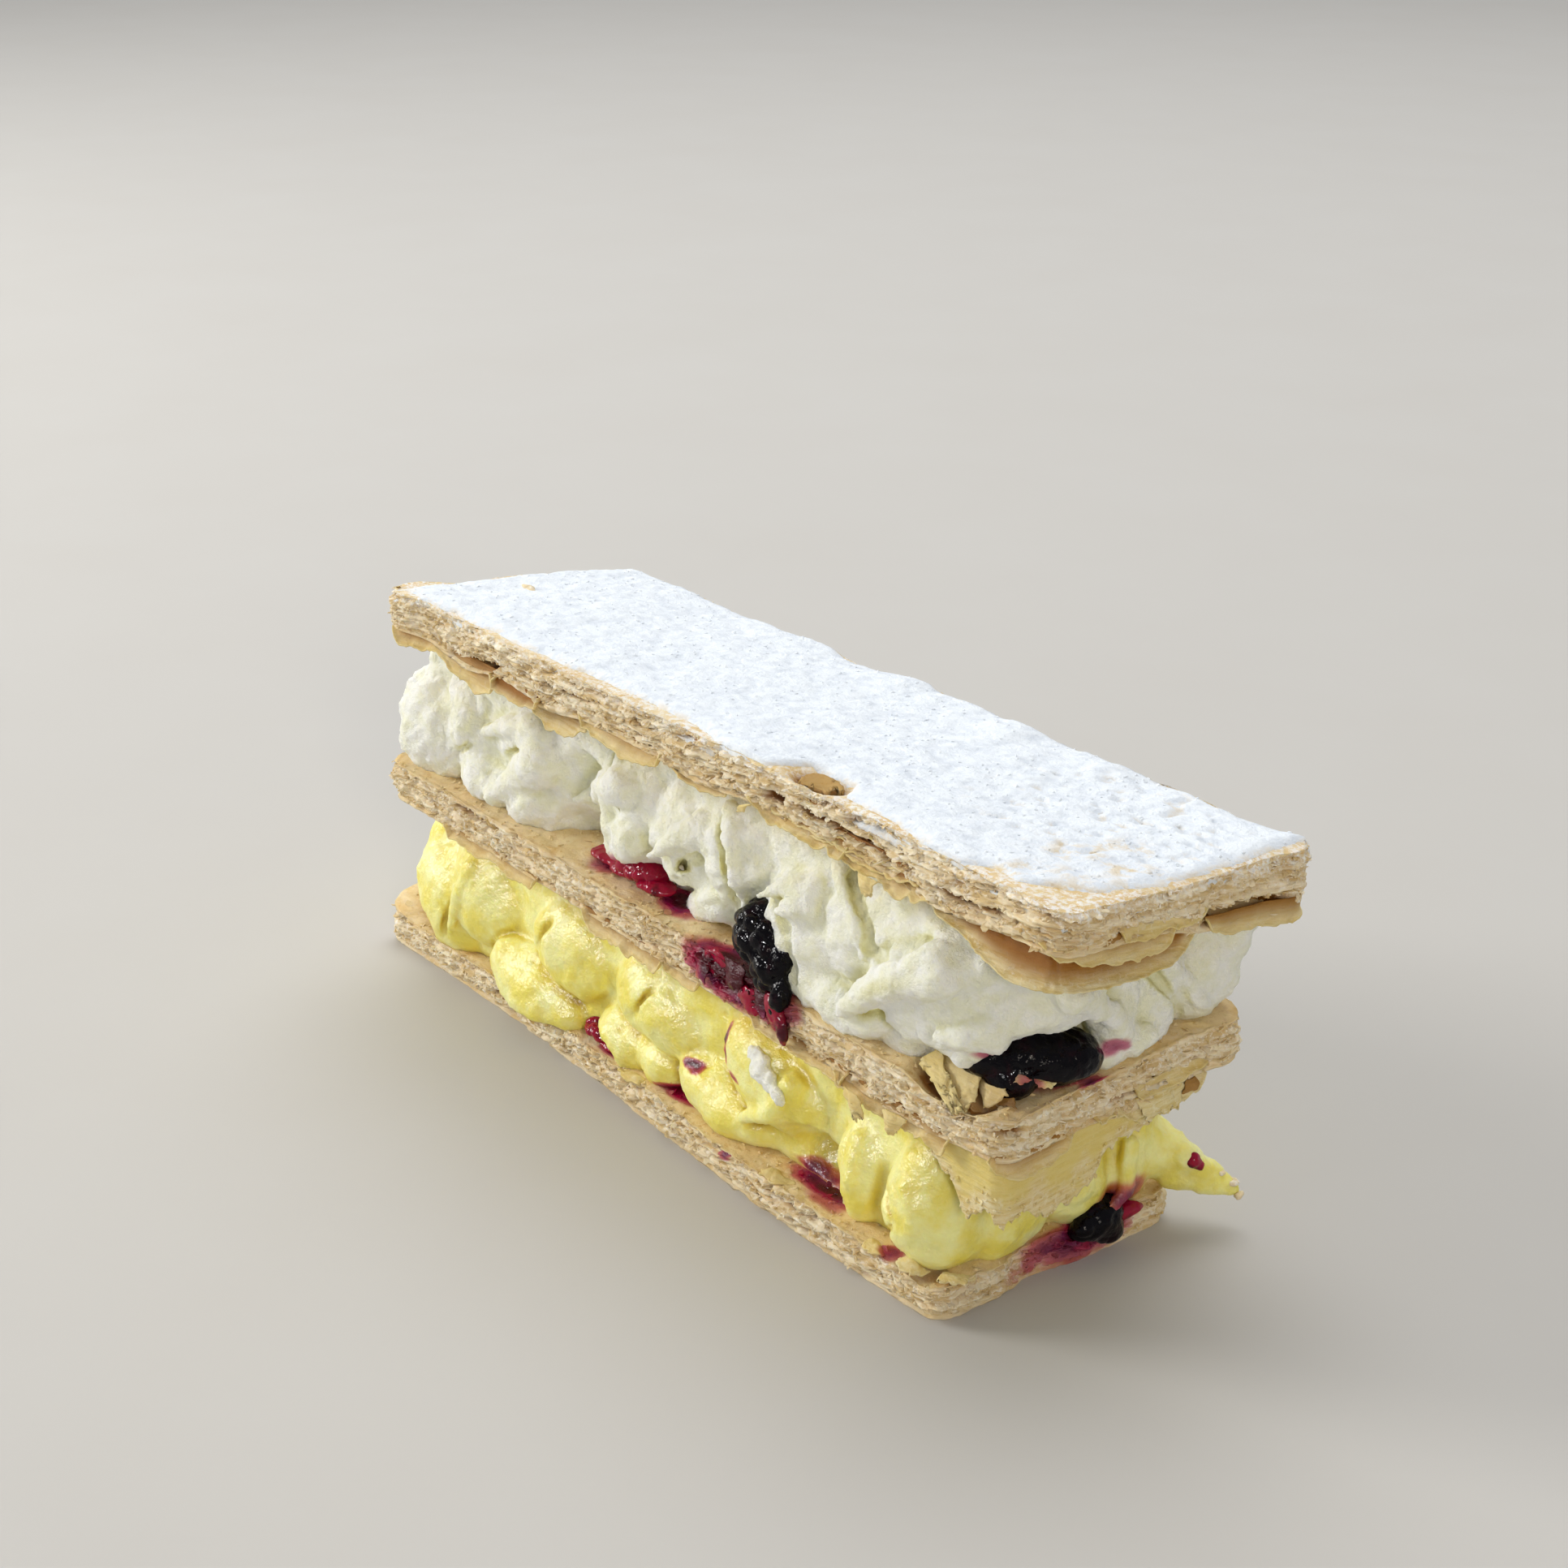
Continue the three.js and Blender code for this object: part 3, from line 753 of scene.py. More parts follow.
# Crushed berry and its thickened juice: a clear deep red, black where it is thick, wet and bright.
BERRY_JAM = Finish(
    "berry_jam", "#480515",
    patterns={"clots": Pattern(3.4), "ripple": Pattern(0.8, 2.0)},
    coats=(Coat("clots", 0.28, 0.46, "#960A30"),),
    settings={
        "Roughness": 0.16, "IOR": 1.4, "Specular IOR Level": 0.4,
        "Subsurface Weight": 0.4, "Subsurface Radius": (1.0, 0.08, 0.1), "Subsurface Scale": 0.001,
    },
    bumps=(("ripple", 0.14),),
)
# The plain pale floor, a matt painted board.
PALE_BOARD = Finish(
    "pale_board", "#C6C4BF", patterns={"tone": Pattern(40.0)}, coats=(Coat("tone", 0, 0, "#C3C0BA"),),
    settings={"Roughness": 0.9, "Specular IOR Level": 0.2},
)


# ---- Juice ----


@dataclass(frozen=True)
class Stain:
    """A place where berry juice has soaked in."""

    at: tuple
    reach: tuple
    strength: float = 1.0


def soak(points: Array, stains: tuple, salt: int) -> Array:
    """Adds up stains.

    Args:
        points: Places.
        stains: The stains.
        salt: Picks how their edges fray.

    Returns:
        The juice at each place, from 0 to 1.
    """
    fray = Lattice(salt).layered(points, 3.4, 3, 0.5)
    total = np.zeros(len(points))
    for stain in stains:
        away = np.linalg.norm((points - np.array(stain.at)) / np.array(stain.reach), axis=1)
        total = np.maximum(total, stain.strength * eased(1.15, 0.3, away + 0.3 * fray))
    return np.clip(total, 0, 1)


# ---- Pastry ----


@dataclass(frozen=True)
class Spot:
    """A place on a sheet's edge: its half length, and how far the edge goes in or hangs down there."""

    x: float
    y: float
    reach: float
    amount: float

    def pull(self, x: Array, y: Array) -> Array:
        """The spot's amount at points, which fades to 0 at its reach."""
        away = np.hypot(x - self.x, y - self.y) / self.reach
        return np.where(away < 1, self.amount * (1 - np.minimum(away, 1) ** 2) ** 2, 0)


def pulled(spots: tuple, x: Array, y: Array) -> Array:
    """The amounts of all spots at points, added up."""
    return sum((spot.pull(x, y) for spot in spots), np.zeros(len(x)))


@dataclass(frozen=True)
class Slot:
    """An open gap between leaves: where and how deep, and between which shares of the sheet's thickness."""

    spot: Spot
    low: float
    high: float


@dataclass(frozen=True)
class Leaf:
    """A leaf that has come loose from a sheet's edge, from start to end on its outline, and hangs there.

    hang gives the heights of its lip at even steps, from the sheet's underside. It is rooted `tuck` inside
    the edge at the height `root`, and its lip swings `flare` outwards. shade is painted shade, darkest at its
    root, and amber lays the same amber over all of it.
    blunt is how often the outline is smoothed, so that the leaf runs round a corner softly.
    """

    start: tuple
    end: tuple
    hang: tuple
    root: float = 0.5
    tuck: float = 1.0
    flare: float = 0.9
    ragged: float = 0.45
    thick: float = 0.18
    shade: float = 0.9
    amber: float = 0.0
    toast: float = 0.5
    rows: int = 9
    blunt: int = 0

    def surface(self, edge: Array, normals: Array, noise: Lattice, salt: int) -> tuple:
        """Lays the leaf's outer face.

        Args:
            edge: Points of the sheet's outline.
            normals: Outward directions there.
            noise: The sheet's noise.
            salt: Picks another waviness.

        Returns:
            Its points in the sheet's axes, as a grid, and how far down the leaf each is.
        """
        count = len(edge)
        edge = edge.copy()
        for _ in range(self.blunt):
            edge[1:-1] = 0.25 * (edge[:-2] + 2 * edge[1:-1] + edge[2:])
        along = np.linspace(0, 1, count)
        lip = np.interp(along, np.linspace(0, 1, len(self.hang)), self.hang)
        flat = np.column_stack([edge, np.full(count, 3.0 * salt)])
        fray = noise.layered(flat, (1.8, 1.8, 1), 3, 0.75) + 0.5 * noise.at(flat + 3.0, (5.0, 5.0, 1))
        lip = lip + 1.6 * self.ragged * fray
        taper = eased(0.0, 0.06, along) * eased(1.0, 0.94, along)
        lip = self.root + (lip - self.root) * (0.15 + 0.85 * taper)
        down = np.linspace(0, 1, self.rows)[None, :]
        wave = 0.3 * noise.layered(flat + 11.0, (4.0, 4.0, 1), 2)[:, None]
        height = self.root + (lip - self.root)[:, None] * np.sin(down * math.pi / 2) ** 0.9
        tall = np.broadcast_to(flat[:, None, :], (*height.shape, 3)).copy()
        tall[..., 2] += height
        crinkle = 0.6 * noise.layered(tall.reshape(-1, 3) + 23.0, (2.2, 2.2, 1.4), 3, 0.7)
        crinkle = crinkle.reshape(height.shape)
        swing = -self.tuck + (self.flare + wave) * down**1.6 + crinkle * (0.3 + 0.7 * down)
        place = edge[:, None, :] + normals[:, None, :] * swing[..., None]
        return np.concatenate([place, height[..., None]], 2), np.broadcast_to(down, height.shape)


@dataclass(frozen=True)
class Flake:
    """A torn flake: its four corners in the part's frame, the first two at its root, and its looks."""

    corners: tuple
    bulge: float = 0.5
    crinkle: float = 0.5
    amber: float = 0.0
    toast: float = 0.6
    ragged: float = 0.35
    thick: float = 0.2
    side: int = 16
    oval: float = 0.2

    def grid(self, noise: Lattice) -> Array:
        """Lays the flake's outer face.

        Args:
            noise: What tears and crinkles it.

        Returns:
            A grid of points.
        """
        u, v = np.meshgrid(np.linspace(0, 1, self.side), np.linspace(0, 1, self.side), indexing="ij")
        root, root_end, lip_end, lip = (np.array(corner, float) for corner in self.corners)

        def place() -> Array:
            """The flat flake's points for the present u and v."""
            near = root + (root_end - root) * u[..., None]
            return near + (lip + (lip_end - lip) * u[..., None] - near) * v[..., None]

        flat = place().reshape(-1, 3)
        across, along = 2 * u - 1, 2 * v - 1
        u = u + 0.5 * self.oval * across * (np.sqrt(1 - along**2 / 2) - 1)
        v = v + 0.5 * self.oval * along * (np.sqrt(1 - across**2 / 2) - 1)
        torn = self.ragged * noise.layered(flat, 1.4, 3, 0.75).reshape(u.shape)
        other = self.ragged * noise.layered(flat + 9.0, 1.4, 3, 0.75).reshape(u.shape)
        u, v = 0.5 + (u - 0.5) * (1 + torn), v * (1 + other)
        way = np.cross(lip - root, root_end - root)
        way = way / np.linalg.norm(way)
        crinkle = self.crinkle * noise.layered(flat + 19.0, 1.8, 3, 0.7).reshape(u.shape)
        rise = self.bulge * np.sin(math.pi * np.clip(u, 0, 1)) * np.sin(math.pi * np.clip(v, 0, 1)) + crinkle
        return place() + way * rise[..., None]


def round_outline(half_length: float, half_width: float, corner: float, count: int) -> tuple:
    """Evenly spaced points round a rectangle with round corners, from the middle of its -X end past -Y.

    Args:
        half_length: Half its length.
        half_width: Half its width.
        corner: Radius of its corners.
        count: How many points.

    Returns:
        The points and their outward directions.
    """
    across, along, bend = 2 * (half_width - corner), 2 * (half_length - corner), math.pi / 2 * corner
    runs = [across / 2, bend, along, bend, across, bend, along, bend, across / 2]
    starts = np.concatenate([[0], np.cumsum(runs)])
    corners = [(-1, -1), (1, -1), (1, 1), (-1, 1)]
    distance = starts[-1] * np.arange(count) / count
    points, normals = np.zeros((count, 2)), np.zeros((count, 2))
    place, heading = np.array([-half_length, 0.0]), -math.pi / 2
    for k, run in enumerate(runs):
        here = (distance >= starts[k]) & (distance < starts[k + 1])
        ahead = distance[here] - starts[k]
        if k % 2 == 0:
            way = np.array([math.cos(heading), math.sin(heading)])
            points[here] = place + ahead[:, None] * way
            normals[here] = (math.sin(heading), -math.cos(heading))
            place = place + run * way
        else:
            side = corners[k // 2]
            centre = np.array([side[0] * (half_length - corner), side[1] * (half_width - corner)])
            angle = heading + ahead / corner
            out = np.stack([np.sin(angle), -np.cos(angle)], 1)
            points[here], normals[here] = centre + corner * out, out
            heading += math.pi / 2
            place = centre + corner * np.array([math.sin(heading), -math.cos(heading)])
    return points, normals


@dataclass
class Sheet:
    """One sheet of puff pastry: leaves that stand in and out at its cut sides, and two faces."""

    node: str
    middle: tuple
    width: float
    thickness: float
    salt: int
    turn: float = 0.0
    rise_along: float = 0.0
    rise_across: float = 0.0
    bow: float = 0.0
    curl: float = 0.0
    blister: float = 0.2
    flat_underside: bool = False
    dents: tuple = ()
    drops: tuple = ()
    slots: tuple = ()
    puffs: tuple = ()
    stains: tuple = ()
    leafs: tuple = ()
    flakes: tuple = ()
    scales: float = 0.3
    crumbly: float = 0.0
    dust_reach: float = 0.0
    columns: int = 760
    rows: int = 34
    leaf_height: float = 0.5

    def __post_init__(self) -> None:
        """Works out the sheet's own axes and its outline."""
        turn = Matrix.Rotation(self.turn, 3, "Z")
        lengthways = Matrix.Rotation(-math.atan(self.rise_along), 3, "Y")
        crossways = Matrix.Rotation(math.atan(self.rise_across), 3, "X")
        self.matrix = np.array(turn @ lengthways @ crossways)
        self.origin = np.array(self.middle, float)
        self.name = f"{self.node}_sheet"
        self.noise = Lattice(self.salt)
        self.edge, self.normals = round_outline(SHEET_LENGTH / 2, self.width / 2, SHEET_CORNER, self.columns)

    def placed(self, points: Array) -> Array:
        """Carries points from the sheet's own axes to the part's frame."""
        return points @ self.matrix.T + self.origin

    def stretch(self, start: tuple, end: tuple) -> tuple:
        """Picks a stretch of the outline.

        Args:
            start: A place near its first point.
            end: A place near its last.

        Returns:
            Its points as they stand out, its outward directions and how low the underside hangs there.
        """
        x, y = self.edge.T
        first, last = (int(np.argmin(np.hypot(x - place[0], y - place[1]))) for place in (start, end))
        steps = slice(first, last + 1)
        out = self.outward(x, y, self.normals)[steps, None]
        return self.edge[steps] + self.normals[steps] * out, self.normals[steps], self.hang(x, y)[steps]

    def face(self, lift: float) -> object:
        """The height of a face of the sheet.

        Args:
            lift: How far it lies above the underside.

        Returns:
            A function of x and y in the part's frame.
        """
        normal = self.matrix[:, 2]
        point = self.origin + lift * normal

        def height(x: Array, y: Array) -> Array:
            """The face's height over places on the floor."""
            return point[2] - (normal[0] * (x - point[0]) + normal[1] * (y - point[1])) / normal[2]

        return height

    def outward(self, x: Array, y: Array, normals: Array) -> Array:
        """How far the cut side stands out from the rectangle at places with their outward directions."""
        bow = self.bow * np.sin(math.pi * x / (SHEET_LENGTH / 2)) * np.abs(normals[:, 1])
        return bow - pulled(self.dents, x, y)

    def hang(self, x: Array, y: Array) -> Array:
        """How low the underside's edge hangs.

        Args:
            x, y: Places along and across the sheet.

        Returns:
            Heights, 0 or less.
        """
        if self.flat_underside:
            return np.zeros(len(x))
        steps = np.arange(len(x)) * OUTLINE_STEPS / len(x)
        return -pulled(self.drops, x, y) * (0.75 + 0.25 * wander(steps / 2, self.salt, OUTLINE_STEPS // 2))

    def crown(self, x: Array, y: Array) -> Array:
        """The height of the top face, with its curl, blisters and puffs.

        Args:
            x, y: Places along and across the sheet.

        Returns:
            Heights above the underside.
        """
        curl = self.curl * (x / (SHEET_LENGTH / 2)) * np.maximum(y, 0) / (self.width / 2)
        flat = np.stack([x, y, np.full(len(x), 0.5)], 1)
        blisters = self.blister * self.noise.layered(flat, (11.0, 8.0, 1.0), 3, 0.5)
        return self.thickness + curl + blisters + pulled(self.puffs, x, y) + self.scales * self.scale(x, y)

    def scale(self, x: Array, y: Array) -> Array:
        """Which of the top face's torn leaves is uppermost.

        Args:
            x, y: Places along and across the sheet.

        Returns:
            Values from -1, where two are gone, to 0.
        """
        flat = np.stack([x, y, np.full(len(x), 9.5)], 1)
        first = eased(-0.05, 0.05, self.noise.layered(flat, (9.0, 5.0, 1.0), 4, 0.65))
        second = eased(0.1, 0.18, self.noise.layered(flat + 20.0, (5.0, 4.0, 1.0), 4, 0.65))
        return -0.6 * first - 0.4 * second

    def leaves(self, x: Array, y: Array, share: float) -> tuple:
        """How the leaves' edges stand in and out at one height.

        Args:
            x, y: Places along and across the sheet.
            share: The height as a share of the thickness.

        Returns:
            How far the side stands out, and how deep between leaves it is.
        """
        count = self.thickness / self.leaf_height

        def noise(size: float, row: object) -> Array:
            """Noise along the side, another for each row."""
            return self.noise.at(np.stack([x / size, y / size, row + 0.0 * x], 1))

        level = share * count + 0.9 * noise(16.0, 3) + 0.5 * noise(5.0, share * 1.5 + 9)
        level = level + 0.3 * noise(1.6, 20 + share * 2)
        leaf = np.floor(level)
        within = level - leaf
        reach = 0.45 * noise(6.5, leaf) + 0.45 * noise(2.1, leaf + 7) + 0.5 * noise(0.8, leaf + 13)
        gap = eased(0.45, 0.75, within) * (0.55 + 0.45 * noise(4.0, leaf + 19))
        torn = 0.8 * eased(0.3, 0.55, noise(4.5, leaf + 23)) + 0.8 * eased(0.25, 0.6, noise(1.3, leaf + 29))
        crumb = eased(-0.2, 0.3, noise(17.0, 25) + self.crumbly)
        places = np.stack([x, y, np.full(len(x), share * self.thickness)], 1)
        pores = np.maximum(self.noise.layered(places + 40.0, (1.3, 1.3, 0.8), 3, 0.75), -0.6)
        cover = eased(0.0, 0.08, share) * eased(1.0, 0.9, share)
        depth = cover * ((1 - 0.6 * crumb) * (0.8 * np.maximum(gap, 0) + 0.65 * torn) + 0.2 * crumb)
        depth = depth - cover * (0.3 + 0.45 * crumb) * pores
        sway = share + 0.04 * noise(6.0, 31) + 0.03 * noise(1.5, 33)
        for slot in self.slots:
            inside = eased(slot.low - 0.03, slot.low + 0.02, sway)
            inside = inside * eased(slot.high + 0.03, slot.high - 0.02, sway)
            depth = depth + inside * (slot.spot.pull(x, y) * (1 + 0.3 * noise(1.2, 5)))
        belly = 0.5 * np.sin(math.pi * share) - 0.25
        out = (0.45 + 0.35 * cover) * reach * (1 - 0.5 * crumb) - depth + belly
        # The second value paints shade: the deeper between leaves, the darker amber the side is coloured.
        return out, np.clip((depth - 0.15) / 1.7, 0, 1)

    def ring(self, inset: float, out: Array, height: Array) -> Array:
        """One ring of points round the sheet.

        Args:
            inset: How far inside the outline it lies.
            out: How far out each point stands.
            height: Heights, or a function of x and y.

        Returns:
            Points in the sheet's axes.
        """
        half = np.array([SHEET_LENGTH / 2, self.width / 2])
        flat = (self.edge + self.normals * out[:, None]) * (1 - inset / half)
        heights = height(flat[:, 0], flat[:, 1]) if callable(height) else height
        return np.column_stack([flat, heights])

    def tints(self, points: Array, pit: Array, toast: float) -> dict:
        """The tints of some points.

        Args:
            points: Points in the sheet's axes.
            pit: How deep between leaves each is.
            toast: How browned they are.

        Returns:
            The tints by name.
        """
        patchy = self.noise.layered(points + 5.0, 7.0, 2)
        dusted = np.zeros(len(points))
        if self.dust_reach > 0:
            dusted = eased(self.dust_reach, 0, self.thickness - points[:, 2]) * (0.75 + 0.45 * patchy)
        return {
            "grain": points,
            "pit": pit,
            "toast": np.clip(toast + 0.3 * patchy, 0, 1),
            "dusted": np.clip(dusted, 0, 1),
            "juice": soak(self.placed(points), self.stains, self.salt + 1),
        }

    def build(self, finish: Material) -> Object:
        """Makes the sheet.

        Args:
            finish: The pastry's material.

        Returns:
            The piece.
        """
        x, y = self.edge.T
        out = self.outward(x, y, self.normals)
        hang = self.hang(x, y)
        none = np.zeros(len(x))
        rings, tints = [], []

        def add(points: Array, pit: Array, toast: float, cut_side: float = 0.0) -> None:
            """Adds a ring with its tints."""
            rings.append(points)
            tints.append({"cut_side": none + cut_side, **self.tints(points, pit, toast)})

        sag, lowest = (0.0, 0.14) if self.flat_underside else (0.15, 0.0)
        for inset in (12.0, 7.0, 4.5, 3.2, 2.4, 1.7, 1.1, 0.6):
            wave = sag * self.noise.layered(np.column_stack([self.edge, none + inset]), 5.0, 2)
            add(self.ring(inset, out, hang * eased(3.2, 0.0, inset) + wave), none, 0.75)
        for row in range(self.rows + 1):
            share = row / self.rows
            stand, pit = self.leaves(x, y, share)
            flat = self.ring(0.0, out + stand, self.crown)
            height = hang + (flat[:, 2] - hang) * share
            bare = float(eased(lowest, lowest + 0.12, share) * eased(1.0, 0.9, share))
            golden = 0.1 + 0.4 * eased(0.3, 0.0, share) + 0.65 * eased(0.88, 1.0, share)
            add(np.column_stack([flat[:, :2], height]), pit, float(golden), bare)
        stand, _ = self.leaves(x, y, 1.0)
        for inset in [0.35 + 0.55 * k for k in range(14)] + [9.0, 11.0, 13.5, 16.0]:
            flat = self.ring(inset, out + stand * eased(1.2, 0.0, inset), self.crown)
            flat[:, 2] -= 0.25 * eased(0.9, 0.0, inset)
            at = flat[:, :2].T
            # Dents in the top face take the same amber: the browner leaf laid bare, and painted shade in the
            # dent.
            sunk = np.clip(-pulled(self.puffs, *at) / 1.2, 0, 1)
            loose = 0.0 if self.dust_reach else 0.3
            add(flat, sunk * eased(0.0, 1.5, inset), 1.0 + 0.5 * self.scale(*at), loose)
        points, faces = self.placed(np.concatenate(rings)), close_rings(len(rings), len(x))
        return make_piece(self.name, points, faces, finish, "pastry", self.node, **join_tints(tints))

    def build_leafs(self, finish: Material) -> list:
        """Makes the loose leaves and flakes at the sheet's edge.

        Args:
            finish: The pastry's material.

        Returns:
            The pieces.
        """
        pieces = []
        for number, leaf in enumerate(self.leafs):
            edge, normals, _ = self.stretch(leaf.start, leaf.end)
            grid, fade = leaf.surface(edge, normals, self.noise, number)
            # Painted shade, darkest at the leaf's root, with the leaf's own amber over it.
            pit = np.clip(leaf.shade * (1 - fade) + leaf.amber * (1 - 0.6 * fade), 0, 1)
            name = f"{self.name}_leaf_{number + 1}"
            pieces.append(self.thin_piece(name, [(grid, leaf.thick, pit, leaf.toast)], finish))
        parts = []
        for flake in self.flakes:
            grid = (flake.grid(self.noise) - self.origin) @ self.matrix
            parts.append((grid, flake.thick, np.full(grid.shape[:2], flake.amber), flake.toast))
        return [*pieces, self.thin_piece(f"{self.name}_torn_flakes", parts, finish)]

    def thin_piece(self, name: str, parts: list, finish: Material) -> Object:
        """Makes one piece of thin leaves of the sheet.

        Args:
            name: Its name.
            parts: For each leaf a grid, a thickness, painted shade and amber by point, and how browned it is.
            finish: The pastry's material.

        Returns:
            The piece.
        """
        points, faces, tints = [], [], []
        for grid, thick, pit, toast in parts:
            total = sum(len(rows) for rows in points)
            own, own_faces = thicken(grid, thick)
            both = np.concatenate([pit.ravel(), pit.ravel()])
            tints.append({**self.tints(own, both, toast), "dusted": 0 * both, "moist": 0.45 * (1 - both)})
            points.append(own)
            faces.extend([total + corner for corner in face] for face in own_faces)
        placed = self.placed(np.concatenate(points))
        return make_piece(name, placed, faces, finish, "pastry", **join_tints(tints))


# ---- Fillings ----


def onto_skin(shape: SoftField, places: Array) -> Array:
    """Carries places along the camera's lines onto a skin.

    Args:
        shape: The shape.
        places: Places near it.

    Returns:
        The places on its skin.
    """
    back_off, farthest = 14, 26
    ways = places - np.array(CAMERA_STAND)
    ways = ways / np.linalg.norm(ways, axis=1, keepdims=True)
    places = places - back_off * ways
    walked = np.zeros(len(places))
    for _ in range(120):
        clear = shape.at(places)
        step = np.where((clear > 0.03) & (walked < farthest), np.clip(0.8 * clear, 0.05, 1.2), 0.0)
        places, walked = places + ways * step[:, None], walked + step
    return places


class Kind(Enum):
    """What a spatula or a nozzle left in the skin of a filling, each with the radius of its creases."""

    RIDGE = 0.7
    TONGUE = 1.2
    GROOVE = 0.5


RIDGE, TONGUE, GROOVE = Kind


@dataclass(frozen=True)
class Fold:
    """A ridge, a pointed tongue or a groove on a filling's skin.

    Its marks are x and z where the camera's lines to it cross the plane of the open long side, or y and z
    where they cross the plane of the near end.
    """

    kind: Kind
    marks: tuple
    thick: float
    thin: float
    lift: float = 0.0
    at_end: bool = False

    def lay(self, field: SoftField) -> Stroke:
        """Lays the fold on the skin.

        Args:
            field: The filling's shape.

        Returns:
            The stroke that adds it or takes it away.
        """
        marks = np.array(self.marks, float)
        plane = np.full(len(marks), END_PLANE if self.at_end else SIDE_PLANE)
        columns = (plane, marks[:, 0], marks[:, 1]) if self.at_end else (marks[:, 0], plane, marks[:, 1])
        places = onto_skin(field, np.column_stack(columns))
        rise = np.linspace(0.0, self.lift, len(places))[:, None]
        places = places + field.directions(places) * rise
        return Stroke(tuple(map(tuple, places)), self.thick, self.thin, self.kind is GROOVE, self.kind.value)


@dataclass
class Filling:
    """A layer of filling: a core, the lobes that show at its sides, and finer ridges, peaks and grooves."""

    name: str
    slot: str
    core: tuple
    lobes: tuple
    salt: int
    hollows: tuple = ()
    strokes: tuple = ()
    folds: tuple = ()
    stains: tuple = ()
    crease: float = 1.0
    uneven: float = 1.0
    uneven_size: float = 9.0
    pull: float = 35.0
    fold: float = 0.7
    fold_size: tuple = (11.0, 6.0, 4.2)
    grain: float = 0.42
    grain_size: float = 1.5
    step: float = 0.45

    def shape(self, below: object, above: object) -> None:
        """Fills the field.

        Args:
            below: Height of the face that it lies on.
            above: Height of the face above it.
        """
        low, high, rounding = self.core
        ends = np.array([lobe.at for lobe in self.lobes])
        sizes = np.array([lobe.size for lobe in self.lobes])
        first = np.minimum(ends - sizes, np.array(low)).min(0) - 2
        last = np.maximum(ends + sizes, np.array(high)).max(0) + 2
        for stroke in self.strokes:
            first = np.minimum(first, np.array(stroke.path).min(0) - stroke.thick - 1)
            last = np.maximum(last, np.array(stroke.path).max(0) + stroke.thick + 1)
        corners = [(x, y) for x in (first[0], last[0]) for y in (first[1], last[1])]
        first[2] = min(below(*corner) for corner in corners) - 1.5
        last[2] = max(above(*corner) for corner in corners) + 1.5
        self.field = SoftField(tuple(first), tuple(last), self.step)
        self.field.warp(Lattice(self.salt + 50), self.uneven_size, self.uneven)
        self.field.round_box(low, high, rounding, self.crease)
        for lobe in self.lobes:
            self.field.lobe(lobe, self.crease)
        for hollow in self.hollows:
            self.field.lobe(hollow, self.crease, True)
        laid = [fold.lay(self.field) for fold in self.folds]
        for stroke in (*self.strokes, *laid):
            self.field.stroke(stroke)
        self.field.trim(below, above)
        self.above = above

    def build(self, finish: Material) -> Object:
        """Makes the filling.

        Args:
            finish: Its material.

        Returns:
            The piece.
        """
        points, quads, normals = self.field.skin()
        noise = Lattice(self.salt)
        # Painted shade: the more sunken a place on the skin, the darker its crease is coloured.
        hollow = self.field.crease_shade(points, normals, 3.0)
        points = points + normals * self.roughness(points, noise)[:, None]
        # Painted warm shade just below the sheet above, with its butter, gone six millimetres down.
        gap = self.above(points[:, 0], points[:, 1]) - points[:, 2]
        gap = gap + 1.5 * noise.layered(points + 3.0, 5.0, 2)
        juice = soak(points, self.stains, self.salt + 1)
        return make_piece(self.name, points, quads.tolist(), finish, self.slot, self.slot, hollow=hollow,
                          under=0.7 * eased(6.0, 0.5, gap), juice=juice)

    def roughness(self, points: Array, noise: Lattice) -> Array:
        """How far the torn skin stands out.

        Args:
            points: Places on the skin.
            noise: The filling's noise.

        Returns:
            A distance for each.
        """
        torn = 0.45 + 0.55 * eased(-0.4, 0.5, noise.at(points, 12.0))
        cos, sin = math.cos(math.radians(self.pull)), math.sin(math.radians(self.pull))
        x, y, z = points.T
        slanted = np.stack([cos * x + sin * z, y, cos * z - sin * x], 1)
        folds = 1 - 3.2 * np.abs(noise.layered(slanted, self.fold_size, 3, 0.6))
        curds = noise.layered(points + 7.0, self.grain_size, 3, 0.75)
        return self.fold * torn * np.maximum(folds, -0.8) + self.grain * curds

    def reach(self, starts: Array, ways: Array) -> Array:
        """Finds the skin by walking inwards.

        Args:
            starts: Places inside.
            ways: Outward directions from them.

        Returns:
            How far along its way from each start the skin is.
        """
        ahead = np.full(len(starts), 16.0)
        for _ in range(90):
            clear = self.field.at(starts + ways * ahead[:, None])
            ahead = np.where(clear > 0.02, ahead - np.clip(0.7 * clear, 0.05, 1.5), ahead)
        return np.maximum(ahead, -8)


